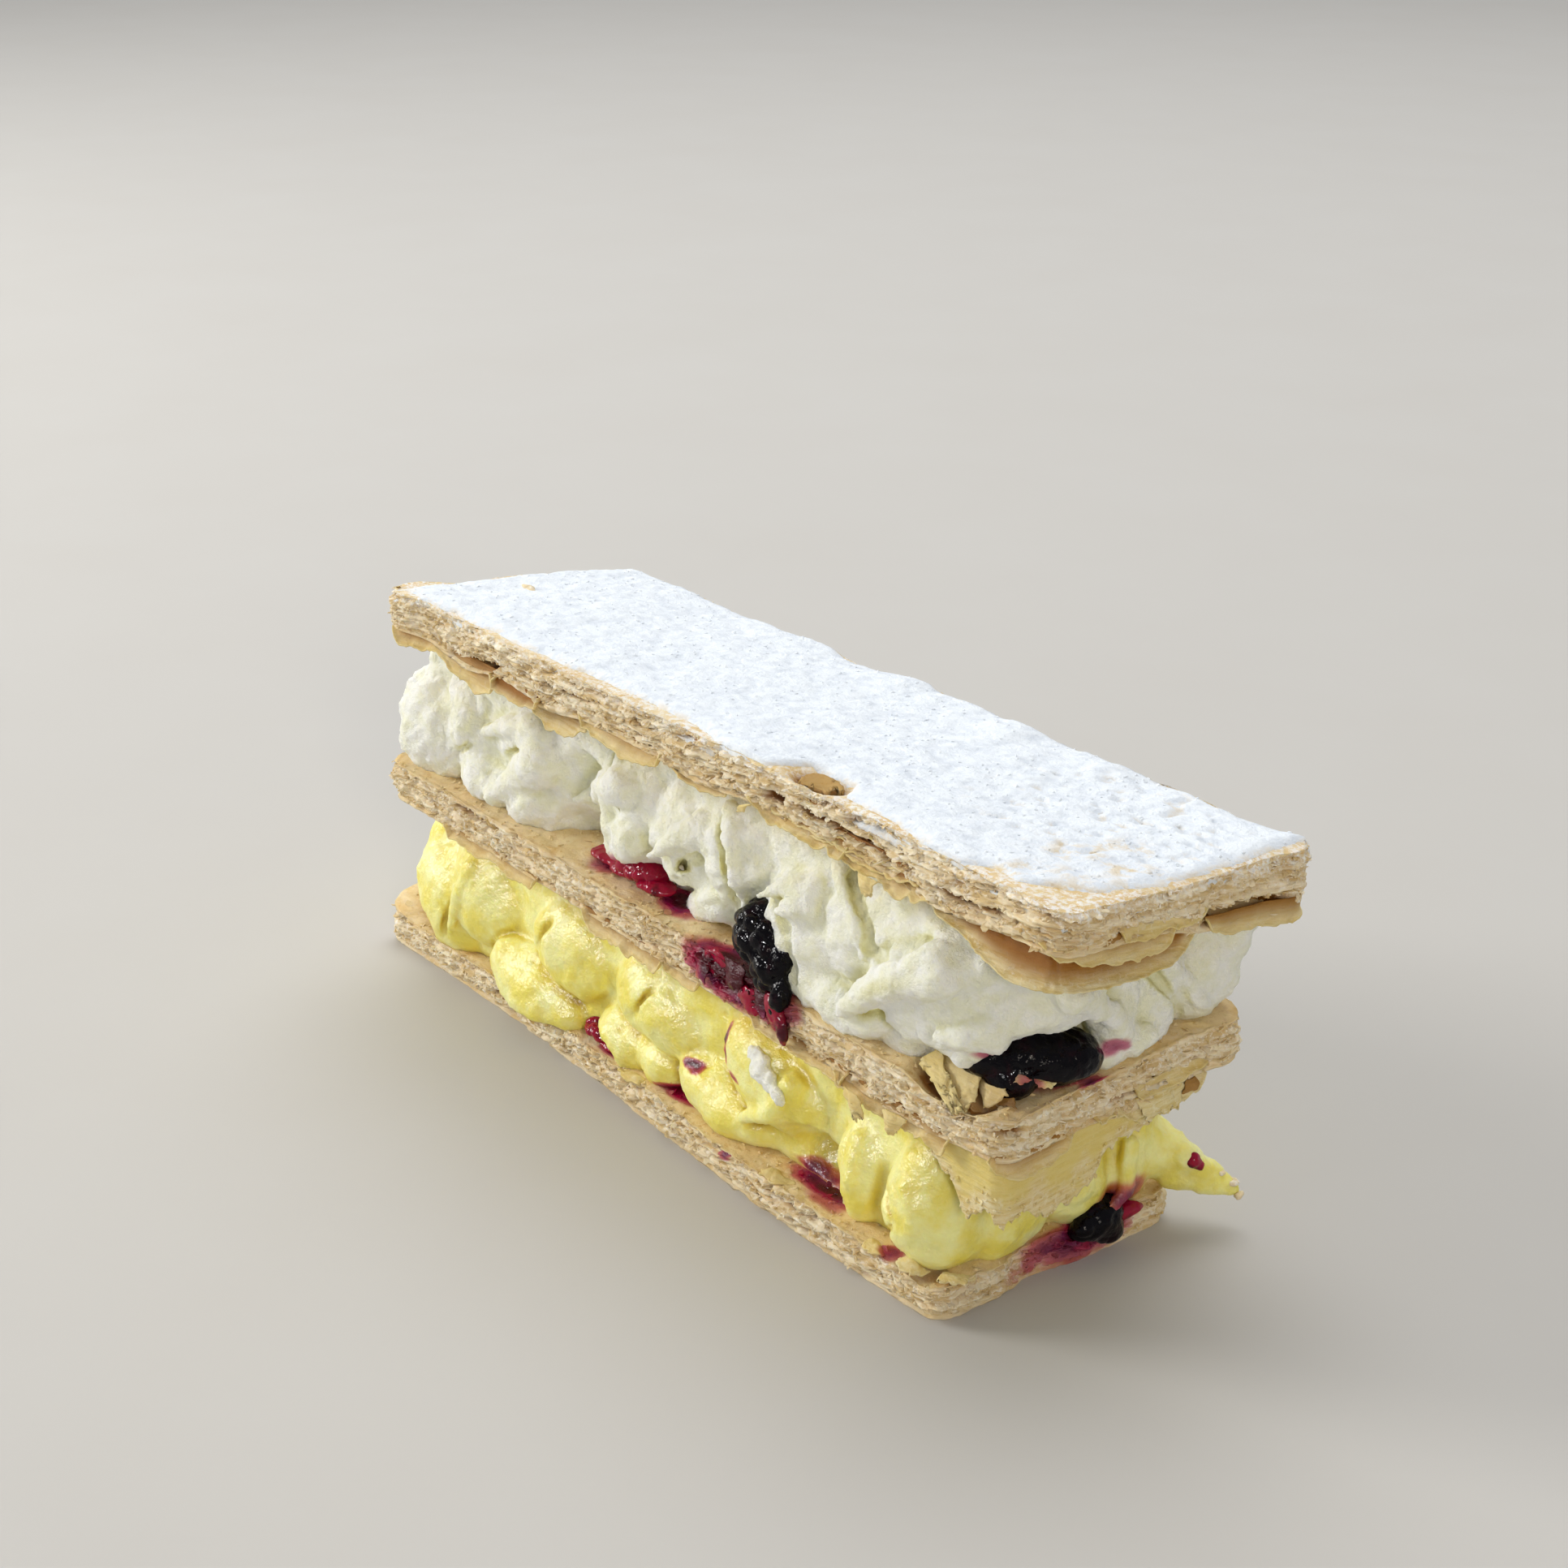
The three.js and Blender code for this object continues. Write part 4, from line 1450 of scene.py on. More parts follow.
@dataclass(frozen=True)
class BackRow:
    """A row along the back, each piece a little different: its start and step along X, and its heights."""

    start: float
    step: float
    count: int
    y: float
    low: float
    high: float

    def lobes(self, size: tuple, lean: float) -> tuple:
        """Lobes, low and high in turn.

        Args:
            size: Their half sizes.
            lean: Their lean about Y, in degrees.

        Returns:
            The lobes.
        """
        lobes = []
        for k in range(self.count):
            grow = 0.85 + 0.35 * hashed(k, 41)
            x = self.start + self.step * (k + 0.4 * (hashed(k, 47) - 0.5))
            z = (self.high if k % 2 else self.low) + 1.5 * (hashed(k, 43) - 0.5)
            own_size = (size[0] * grow, size[1], size[2] * grow)
            lobes.append(Lobe((x, self.y, z), own_size, lean * (0.5 + hashed(k, 59))))
        return tuple(lobes)

    def strokes(self, run: float, thick: float, cut: bool) -> tuple:
        """Slanting strokes.

        Args:
            run: How far they slant along X.
            thick: Their radius at the lower end.
            cut: Whether they are taken away.

        Returns:
            The strokes.
        """
        strokes = []
        for k in range(self.count):
            x = self.start + self.step * (k + 0.7 * (hashed(k, 61) - 0.5))
            foot, top = self.low + 4 * hashed(k, 71), self.high - 5 * hashed(k, 67)
            bend = (x + 0.7 * run, self.y, (foot + top) / 2)
            path = ((x, self.y, foot), bend, (x + run, self.y - 0.5, top))
            strokes.append(Stroke(path, thick * (0.7 + 0.6 * hashed(k, 73)), 0.4 * thick, cut, 0.7))
        return tuple(strokes)


@dataclass(frozen=True)
class Drape:
    """A wide thin leaf torn from a sheet's underside, which lies down over the filling below it."""

    name: str
    start: tuple
    end: tuple
    lips: tuple
    tuck: float = 1.2
    clear: float = 0.35
    thick: float = 0.3
    ragged: float = 1.0
    rows: int = 34

    def build(self, sheet: Sheet, filling: Filling, finish: Material) -> Object:
        """Makes the leaf.

        Args:
            sheet: The sheet it hangs from.
            filling: The filling it lies on.
            finish: The pastry's material.

        Returns:
            The piece.
        """
        edge, normals, hang = sheet.stretch(self.start, self.end)
        root = sheet.placed(np.column_stack([edge, hang + 0.5]))
        ways = np.column_stack([normals, 0 * hang]) @ sheet.matrix.T
        ways[:, 2] = 0
        along = np.linspace(0, 1, len(edge))
        lip = np.interp(along, np.linspace(0, 1, len(self.lips)), self.lips)
        fray = sheet.noise.layered(root * (1, 1, 0) + 61.0, 3.0, 4, 0.8)
        lip = lip + self.ragged * 3.2 * fray
        down = np.linspace(0, 1, self.rows)
        height = root[:, 2:] + (lip[:, None] - root[:, 2:]) * down
        places = np.repeat(root[:, None, :], self.rows, 1)
        places[..., 2] = height
        spread = np.repeat(ways[:, None, :], self.rows, 1)
        starts = (places - 7 * spread).reshape(-1, 3)
        reach = filling.reach(starts, spread.reshape(-1, 3)).reshape(height.shape) - 7 + self.clear
        for _ in range(14):
            reach[1:-1] = 0.25 * (reach[:-2] + 2 * reach[1:-1] + reach[2:])
            reach[:, 1:-1] = 0.25 * (reach[:, :-2] + 2 * reach[:, 1:-1] + reach[:, 2:])
        crinkle = sheet.noise.layered(places.reshape(-1, 3) + 5.0, 2.8, 4, 0.7).reshape(height.shape)
        reach = reach + 0.9 * np.maximum(crinkle, -0.3) + 0.8 * eased(0.7, 1.0, down) * np.maximum(crinkle, 0)
        held = eased(0.0, 0.22, down)
        reach = -self.tuck * (1 - held) + np.maximum(reach, -self.tuck) * held
        grid = places + spread * reach[..., None]
        points, faces = thicken(grid, self.thick)
        fade = np.broadcast_to(down, height.shape).ravel()
        both = np.concatenate([fade, fade])
        own = (points - sheet.origin) @ sheet.matrix
        # Painted shade, darkest at the flap's root and gone by its lip.
        tints = sheet.tints(own, 0.4 * (1 - both) ** 2, 0.1)
        soaked = eased(0.95, 0.5, both + 0.35 * sheet.noise.layered(points, 3.0, 3))
        return make_piece(self.name, points, faces, finish, "pastry", moist=0.35 + 0.5 * soaked,
                          cut_side=eased(0.55, 0.9, both), **tints)


# ---- Berries ----


def join_lumps(lumps: tuple, crease: float, noise: Lattice | None = None, uneven: float = 0.0) -> tuple:
    """Joins small lumps to one body.

    Args:
        lumps: The lobes.
        crease: Radius of the creases.
        noise: What makes them uneven.
        uneven: By how much.

    Returns:
        Points, quads and outward directions of its skin.
    """
    centres = np.array([lump.at for lump in lumps], float)
    reach = max(max(lump.size) for lump in lumps) + 1.5
    shape = SoftField(tuple(centres.min(0) - reach), tuple(centres.max(0) + reach), 0.22)
    if noise:
        shape.warp(noise, 2.5, uneven)
    for lump in lumps:
        shape.lobe(lump, crease)
    return shape.skin()


@dataclass
class Berry:
    """A squashed berry, or two that cling together, knobbly with drupelets."""

    name: str
    lumps: tuple
    salt: int
    knob: float = 0.55
    jam: bool = False

    def build(self, finish: Material) -> Object:
        """Makes the berry.

        Args:
            finish: Its material.

        Returns:
            The piece.
        """
        points, quads, normals = join_lumps(self.lumps, 0.8)
        noise = Lattice(self.salt)
        draw = np.random.default_rng(self.salt)
        seeds = points[draw.choice(len(points), size=max(len(points) // 60, 12), replace=False)]
        away = np.full(len(points), 9.0)
        for seed in seeds:
            away = np.minimum(away, np.linalg.norm(points - seed, axis=1))
        knobs = self.knob * np.sqrt(np.clip(1 - (away / 1.1) ** 2, 0, 1)) - 0.75 * self.knob
        points = points + normals * (knobs + 0.25 * noise.layered(points, 1.8, 2))[:, None]
        return make_piece(self.name, points, quads.tolist(), finish, "berry", self.name)


class Stuff(Enum):
    """What a dab is of, each with the slot of its finish."""

    CREAM = "cream"
    JAM = "berry"
    CRUST = "pastry"


@dataclass(frozen=True)
class Dab:
    """A small dab of cream, crushed berry or pastry: where its lumps are, and their half sizes.

    When on_custard is set, the lumps' places are carried onto the custard's skin.
    """

    name: str
    of: Stuff
    lumps: tuple
    salt: int
    on_custard: bool = False
    uneven: float = 0.25

    def build(self, custard: Filling, finish: Material) -> Object:
        """Makes the dab.

        Args:
            custard: The custard.
            finish: Its material.

        Returns:
            The piece.
        """
        lumps = self.lumps
        if self.on_custard:
            centres = onto_skin(custard.field, np.array([lump.at for lump in lumps], float))
            lumps = [replace(lump, at=tuple(centre)) for centre, lump in zip(centres, lumps)]
        points, quads, normals = join_lumps(lumps, 0.5, Lattice(self.salt + 9), self.uneven * 2)
        points = points + normals * (self.uneven * Lattice(self.salt).layered(points, 1.3, 3, 0.7))[:, None]
        return make_piece(self.name, points, quads.tolist(), finish, self.of.value)


# ---- Icing sugar ----


@dataclass
class SugarCoat:
    """The sifted sugar on the top sheet: a lumpy cover whose ragged edge dips below the crust.

    front_edge is where it ends on the open long side, as x and y on the sheet, and near_edge is where it ends
    at the near end, as y and x.
    """

    sheet: Sheet
    name: str = "icing_sugar"
    step: float = 0.42
    depth: float = 0.55
    salt: int = 71
    front_edge: tuple = (
        (-60, -18.8), (-48, -18.2), (-40, -18.0), (-30, -17.6), (-16, -16.9), (-7, -16.4), (0, -16.9),
        (5, -18.2), (8, -19.8), (12, -19.8), (14, -17.6), (15.6, -13.4), (22.8, -13.0), (25, -16.4),
        (33, -16.9), (40, -18.2), (44, -18.2), (47, -16.2), (51, -16.4), (54, -14.6), (60, -13.2),
    )
    near_edge: tuple = ((-20, 54.5), (-13, 55.5), (-10, 57.6), (-4, 58.8), (20, 59.0))

    def cover(self, x: Array, y: Array, out: Array) -> Array:
        """How far inside the sugared area places are.

        Args:
            x, y: Places along and across the sheet.
            out: How far the sheet's long side stands out there.

        Returns:
            Distances, negative outside.
        """
        front = y - np.interp(x, *np.array(self.front_edge).T)
        back = self.sheet.width / 2 + out - 0.2 - y
        near = np.interp(y, *np.array(self.near_edge).T) - x
        far = x + 59.4
        return np.minimum(np.minimum(front, back), np.minimum(near, far))

    def build(self, finish: Material) -> Object:
        """Makes the sugar.

        Args:
            finish: Its material.

        Returns:
            The piece.
        """
        half = np.array([SHEET_LENGTH / 2 - 0.6, self.sheet.width / 2 - 0.6])
        count = np.ceil(2 * half / self.step).astype(int) + 1
        axes = [np.linspace(-half[k], half[k], count[k]) for k in range(2)]
        x, y = (axis.ravel() for axis in np.meshgrid(*axes, indexing="ij"))
        noise = Lattice(self.salt)
        crossways = np.column_stack([0 * x, np.sign(y)])
        rim = np.sign(y) * self.sheet.width / 2
        out = self.sheet.outward(x, rim, crossways)
        y = y * (1 + out / (self.sheet.width / 2))
        flat = np.stack([x, y, 0 * x], 1)
        inside = self.cover(x, y, out) + 0.8 * noise.layered(flat, 3.0, 4, 0.7)
        thick = self.depth * eased(-0.5, 1.6, inside) - 1.4 * eased(0.25, -1.0, inside)
        lumps = 0.26 * noise.layered(flat, 2.8, 3, 0.7) + 0.1 * np.maximum(noise.at(flat, 0.9), 0)
        # The crust shows through in two patches near the open corner, and specks are pitted into the near end.
        inner = eased(8, 3, np.hypot((x - 52) / 1.2, y + 4)) * eased(-0.1, 0.6, noise.at(flat + 5.0, 3.0))
        outer = eased(10, 3, np.hypot(x - 52, y + 14)) * eased(-0.3, 0.6, noise.at(flat, 3.5))
        thin = np.maximum(0.8 * inner, 0.75 * outer)
        specked = eased(17, 8, np.hypot((x - 44) / 1.1, y - 4))
        pits = 0.45 * eased(0.35, 0.75, noise.at(flat + 9.0, (1.5, 1.0, 1.0))) * specked
        top = self.sheet.crown(x, y) + thick + lumps * eased(-0.5, 1.0, inside) - pits - 0.15 * thin
        points = np.concatenate([np.stack([x, y, top], 1), np.stack([x, y, self.sheet.crown(x, y) - 1.9], 1)])
        thinness = np.clip(thin + 0.5 * eased(0.9, 0.2, inside) + 1.2 * pits, 0, 1)
        return make_piece(
            self.name, self.sheet.placed(points), close_grid(tuple(count), True), finish, "pastry",
            thin=np.concatenate([thinness, thinness]),
            powdered=np.concatenate([eased(0.3, 1.2, inside), 0 * inside]),
        )


# ---- Flakes, crumbs and clumps ----


class Shape(Enum):
    """The small bodies that are strewn, each with the node that makes one and the node's own settings."""

    FLAKE = ("GeometryNodeMeshCylinder", {"Vertices": 7, "Radius": 1.0, "Depth": 1.0})
    CRUMB = ("GeometryNodeMeshIcoSphere", {"Radius": 1.0, "Subdivisions": 1})


@dataclass(frozen=True)
class Strewn:
    """Small bodies strewn over a piece by Geometry Nodes, and fixed as a mesh of their own.

    density is bodies per square centimetre where the tint named by where is 1. size is one body's radius in
    millimetres, and thin its thickness as a share of that.
    """

    name: str
    shape: Shape
    where: str
    density: float
    size: float
    thin: float
    seed: int
    tilt: float = 0.5
    uneven: float = 0.35

    def tree(self, finish: Material) -> bpy.types.GeometryNodeTree:
        """Builds the tree of nodes.

        Args:
            finish: The small bodies' material.

        Returns:
            The tree, with its sizes as named inputs.
        """
        tree = bpy.data.node_groups.new(self.name, "GeometryNodeTree")
        sockets = tree.interface
        sockets.new_socket("Geometry", in_out="OUTPUT", socket_type="NodeSocketGeometry")
        sockets.new_socket("Geometry", in_out="INPUT", socket_type="NodeSocketGeometry")
        for label in ("Density", "Size", "Thin", "Tilt", "Uneven"):
            sockets.new_socket(label, in_out="INPUT", socket_type="NodeSocketFloat")
        sockets.new_socket("Seed", in_out="INPUT", socket_type="NodeSocketInt")

        add = Nodes(tree).add
        given = add("NodeGroupInput").outputs
        where = add("GeometryNodeInputNamedAttribute", {"Name": self.where}, data_type="FLOAT")
        share = where.outputs["Attribute"]
        density = add("Math", {0: given["Density"], 1: share}, operation="MULTIPLY").outputs[0]
        spread = add("GeometryNodeDistributePointsOnFaces", {
            "Mesh": given["Geometry"], "Density": density, "Seed": given["Seed"],
        }, distribute_method="RANDOM")
        body = add(*self.shape.value).outputs["Mesh"]
        flat = add("CombineXYZ", {0: 1.0, 1: 1.0, 2: given["Thin"]}).outputs[0]
        body = add("GeometryNodeTransform", {"Geometry": body, "Scale": flat}).outputs[0]
        grow = add("FunctionNodeRandomValue", {
            "Min": (0.35, 0.25, 0.5), "Max": (1.3, 0.8, 1.3), "Seed": given["Seed"],
        }, data_type="FLOAT_VECTOR").outputs[0]
        size = add("VectorMath", {0: grow, "Scale": given["Size"]}, operation="SCALE").outputs[0]
        low = add("Math", {0: given["Tilt"], 1: -1.0}, operation="MULTIPLY").outputs[0]
        least = add("CombineXYZ", {0: low, 1: low, 2: 0.0}).outputs[0]
        most = add("CombineXYZ", {0: given["Tilt"], 1: given["Tilt"], 2: 6.283}).outputs[0]
        turn = add("FunctionNodeRandomValue", {
            "Min": least, "Max": most, "Seed": given["Seed"],
        }, data_type="FLOAT_VECTOR").outputs[0]
        strewn = add("GeometryNodeInstanceOnPoints", {
            "Points": spread.outputs["Points"], "Instance": body, "Rotation": turn, "Scale": size,
        }).outputs[0]
        real = add("GeometryNodeRealizeInstances", {"Geometry": strewn}).outputs[0]
        rough = add("TexNoise", {"Scale": 900.0, "Detail": 1.0}, noise_dimensions="3D").outputs["Color"]
        centred = add("VectorMath", {0: rough, 1: (0.5, 0.5, 0.5)}, operation="SUBTRACT").outputs[0]
        reach = add("Math", {0: given["Uneven"], 1: given["Size"]}, operation="MULTIPLY").outputs[0]
        moved = add("VectorMath", {0: centred, "Scale": reach}, operation="SCALE").outputs[0]
        bent = add("GeometryNodeSetPosition", {"Geometry": real, "Offset": moved}).outputs[0]
        done = add("GeometryNodeSetMaterial", {"Geometry": bent, "Material": finish}).outputs[0]
        add("NodeGroupOutput", {"Geometry": done})
        return tree

    def build(self, base: Object, finish: Material) -> Object:
        """Strews the bodies over a piece.

        Args:
            base: The piece.
            finish: The small bodies' material.

        Returns:
            The new piece.
        """
        tree = self.tree(finish)
        holder = bpy.data.objects.new(self.name, base.data)
        bpy.context.scene.collection.objects.link(holder)
        modifier = holder.modifiers.new("strew", "NODES")
        modifier.node_group = tree
        values = {
            "Density": self.density * 1e4, "Size": self.size * MM, "Thin": self.thin, "Tilt": self.tilt,
            "Uneven": self.uneven * 4, "Seed": self.seed,
        }
        for item in tree.interface.items_tree:
            if item.in_out == "INPUT" and item.name in values:
                modifier[item.identifier] = values[item.name]
        graph = bpy.context.evaluated_depsgraph_get()
        mesh = bpy.data.meshes.new_from_object(holder.evaluated_get(graph), depsgraph=graph)
        holder.modifiers.remove(modifier)
        bpy.data.objects.remove(holder)
        piece = bpy.data.objects.new(self.name, mesh)
        bpy.context.scene.collection.objects.link(piece)
        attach(piece, "root")
        return piece


# ---- Light and camera ----


@dataclass(frozen=True)
class Lamp:
    """A soft square light: its place, what it points at, its side, its power in watts and its colour."""

    name: str
    place: tuple
    aim: tuple
    size: float
    power: float
    colour: str
    glossy: bool = True
    diffuse: bool = True

    def hang(self) -> None:
        """Hangs the light."""
        lamp = bpy.data.lights.new(self.name, "AREA")
        lamp.shape = "SQUARE"
        lamp.size = self.size * MM
        lamp.energy = self.power
        lamp.color = linear(self.colour)[:3]
        holder = bpy.data.objects.new(self.name, lamp)
        turn = (Vector(self.aim) - Vector(self.place)).to_track_quat("-Z", "Y").to_matrix().to_4x4()
        holder.matrix_world = Matrix.Translation(Vector(self.place) * MM) @ turn
        holder.visible_glossy = self.glossy
        holder.visible_diffuse = self.diffuse
        bpy.context.scene.collection.objects.link(holder)


@dataclass
class Studio:
    """The plain pale floor, the soft lights and the camera."""

    azimuth: float = 52.661
    rise: float = 22.958
    stand: tuple = CAMERA_STAND
    lens: float = 59.627
    floor_size: float = 8000.0
    glow: float = 0.4
    # The broad lamp overhead would lay a grey veil on wet skins, and the small glint is only a highlight.
    lamps: tuple = (
        Lamp("overhead", (-420, 480, 1400), (0, 0, 20), 1300, 15.3, "#FBFCFF", glossy=False),
        Lamp("window", (-860, -611, 399), (0, 0, 25), 386, 8.6, "#FFFDF9"),
        Lamp("fill", (1300, -600, 620), (20, 0, 20), 260, 4.9, "#FFF4E4"),
        Lamp("glint", (120, -900, 640), (40, -10, 30), 90, 14.0, "#FFFFFF", diffuse=False),
    )

    def build(self) -> None:
        """Makes the floor, the lights, the world's glow and the camera."""
        half = self.floor_size / 2
        corners = [(-half, -half, 0), (half, -half, 0), (half, half, 0), (-half, half, 0)]
        floor = make_piece("floor", np.array(corners, float), [[0, 1, 2, 3]], PALE_BOARD.make())
        world = bpy.data.worlds.new("studio")
        world.use_nodes = True
        background = world.node_tree.nodes["Background"]
        background.inputs["Color"].default_value = linear("#F3F4F6")
        background.inputs["Strength"].default_value = self.glow
        bpy.context.scene.world = world
        bpy.context.scene.view_settings.view_transform = "Standard"
        for lamp in self.lamps:
            lamp.hang()
        self.camera()

    def camera(self) -> None:
        """Sets the camera at the viewing angle."""
        turn, rise = math.radians(self.azimuth), math.radians(self.rise)
        back = Vector((math.sin(turn) * math.cos(rise), -math.cos(turn) * math.cos(rise), math.sin(rise)))
        right = Vector((math.cos(turn), math.sin(turn), 0))
        up = back.cross(right)
        data = bpy.data.cameras.new("camera")
        data.lens = self.lens
        data.clip_start = 0.01
        holder = bpy.data.objects.new("camera", data)
        axes = Matrix((right, up, back)).transposed().to_4x4()
        holder.matrix_world = Matrix.Translation(Vector(self.stand) * MM) @ axes
        bpy.context.scene.collection.objects.link(holder)
        bpy.context.scene.camera = holder


# ---- The slice ----


BOTTOM = Sheet(
    node="pastry_bottom", middle=(0, 0, 0), width=36, thickness=4.5, salt=11,
    bow=0.9, flat_underside=True, dents=(Spot(62, -3, 7, 1.2),), crumbly=0.3,
    puffs=(Spot(-60, -12, 9, 2.6), Spot(57, -16, 4, -0.8)),
    flakes=(
        Flake(((47, -16.4, 4.2), (51, -16.6, 4.2), (50.6, -18.8, 4.4), (48, -18.9, 4.6)), amber=0.1),
        Flake(((52, -15.6, 4.4), (56.6, -15.8, 4.4), (56, -18.4, 4.7), (53, -18.5, 4.9)), toast=0.2),
        Flake(((57, -14.4, 4.2), (59.6, -12.2, 4.2), (60.8, -14.8, 4.6), (58.6, -16.8, 4.7)), toast=0.2),
        Flake(((28, -16.4, 4.3), (33, -16.4, 4.3), (32, -18.7, 4.5), (29, -18.8, 4.7)), amber=0.1),
        Flake(((-2, -16.2, 4.3), (4, -16.4, 4.3), (3, -18.5, 4.5), (-1, -18.5, 4.7)), toast=0.3),
    ),
    slots=(Slot(Spot(-30, -18, 5, 1.4), 0.5, 0.64), Slot(Spot(34, -18, 7, 1.6), 0.56, 0.7)),
    stains=(
        Stain((-6, -15.4, 4.8), (4, 1.6, 1.2)), Stain((9, -15, 4.8), (5, 1.8, 1.2), 0.7),
        Stain((36, -14.4, 4.8), (7, 2.2, 1.4), 0.9), Stain((22, -18, 3.5), (1.2, 1.5, 0.8), 0.6),
        Stain((38, -16.4, 4.8), (5, 1.8, 1.4), 0.3), Stain((51, -17, 4.5), (2, 2, 1.4), 0.5),
        Stain((60, 2, 3), (3, 11, 4), 0.5), Stain((60, 2.6, 4), (2.4, 3.4, 2.4), 0.8),
    ),
)
MIDDLE = Sheet(
    node="pastry_middle", middle=(6.6, -0.2, 24.4), width=36, thickness=5.4,
    salt=23, turn=0.0355, rise_along=-0.023, rise_across=0.042, bow=0.4,
    dents=(Spot(59, 17, 8, -1.4),), drops=(Spot(44, -18, 12, 1.3), Spot(61, 4, 10, 1.2)),
    crumbly=0.5, puffs=(Spot(49.5, -15, 6, -2.4), Spot(54, -16, 4, -1.6)),
    slots=(
        Slot(Spot(-11, -18, 3, 1.4), 0.2, 0.34), Slot(Spot(60, -17, 3, 1.6), 0.62, 0.76),
        Slot(Spot(60, 5, 9, 1.5), 0.3, 0.42), Slot(Spot(-40, -18, 7, 1.6), 0.7, 0.82),
    ),
    leafs=(
        Leaf((-46, -18), (-25, -18), (-0.6, -1.4, -1, -1.6, -1), root=0.8, tuck=0.5),
        Leaf((-15, -18), (2, -18), (-0.8, -1.8, -1.6, -1.4, -0.8), root=0.7, tuck=0.5, ragged=0.7),
        Leaf((2, -18), (9, -18), (-0.2, -0.8, -0.2), root=0.8, tuck=0.6, ragged=0.5),
        Leaf((19, -18), (36, -18), (0.2, -0.3, -0.2, -0.8, -1), root=1, tuck=0.5, ragged=0.6),
        Leaf((34, -18), (52, -18), (-0.8, -1.2, -1.8, -1.6, -1.4), root=0.6, tuck=0.5, ragged=0.7),
        Leaf((58, -17.6), (60, -8), (-0.4, -1.6, -1.4, -1.2), root=0.8, tuck=0.5),
        Leaf((60, -4), (60, 12), (-0.2, -0.9, -1.8, -2.4, -1.6), root=0.6, tuck=0.6, ragged=1.2, shade=0.3,
             toast=0.15),
        Leaf((60, 2), (60, 12), (0.8, 0.2, 0.4, 0.9), root=1.8, tuck=0.4, flare=0.9, shade=0.3),
    ),
    flakes=(
        Flake(((52.8, -13.2, 29.9), (60.1, -12.6, 31.4), (62, -15.2, 27.5), (61.3, -16.6, 25.9)), bulge=0.3,
              amber=0.3, ragged=0.25, side=24),
        Flake(((58.6, -12.6, 29.9), (62.5, -12, 30.1), (64.9, -13.4, 29.2), (62.3, -14.6, 27.2)), amber=0.42,
              ragged=0.25),
        Flake(((52.5, -15.2, 29), (54.5, -13.8, 30.4), (62.5, -16.8, 26.8), (61.2, -17.6, 26.4)), bulge=0.2,
              ragged=0.6, side=28),
        Flake(((57, -11.6, 28), (62.4, -11.4, 29.4), (66, -13, 28), (60.4, -14, 25.6)), amber=0.8),
        Flake(((63.4, -12.3, 30.9), (65.6, -11.5, 31.5), (66, -11.9, 30.7), (64.2, -12.5, 30.1)), bulge=0.2,
              toast=0.3, ragged=0.9, amber=0.45, side=24, oval=0.7),
        Flake(((65.9, -10.8, 30.9), (67.7, -9.2, 30.7), (68, -10.2, 30.1), (67.1, -11.4, 30.2)), toast=0.2),
        Flake(((66.2, 11.6, 23.2), (66, 14.6, 23), (66.2, 14.2, 21), (66.4, 11.4, 21.2)), amber=0.8),
        Flake(((66, 4, 23.4), (65.8, 11.6, 23.6), (66.6, 11, 21), (66.8, 5.4, 20.4)), toast=0.1, side=24),
        Flake(((64.5, 20.2, 27), (64, 21.6, 26.6), (64.2, 21.6, 25.4), (64.4, 20, 25)), toast=0),
        Flake(((21.6, -18, 29.6), (25.6, -17.9, 29.4), (25, -18.7, 26.2), (22.4, -18.7, 26.8)), toast=0.2),
        Flake(((27, -17.9, 28.2), (29.6, -17.8, 28), (29.8, -18.6, 25), (28, -18.6, 25.4)), toast=0.2),
        Flake(((15.8, -17.9, 27.2), (18.4, -17.9, 27.2), (18.6, -18.6, 24.8), (16.6, -18.6, 25)), toast=0.2),
        Flake(((43.8, -18.4, 22.6), (46.4, -18.2, 22.6), (47.6, -18.4, 20), (46.4, -18.8, 19.6)), ragged=0.7),
        Flake(((49.8, -17.6, 22.6), (53, -17.2, 22.4), (52.4, -17.8, 20.4), (50.6, -18, 20.2)), ragged=0.7),
    ),
    stains=(
        Stain((24.5, -18, 27.4), (11.5, 4, 4.2)), Stain((-7, -13, 30), (5, 4, 2), 0.7),
        Stain((7, -12.5, 30), (6, 4, 2.4), 0.95), Stain((64.2, -4.6, 28.4), (1.8, 3.4, 1.2), 0.9),
        Stain((61, -6, 29), (6, 7, 2), 0.5), Stain((66, -11.4, 30.8), (2.6, 1.6, 1.6), 0.3),
        Stain((67, -3, 29), (2, 3.4, 1.6), 1),
    ),
)
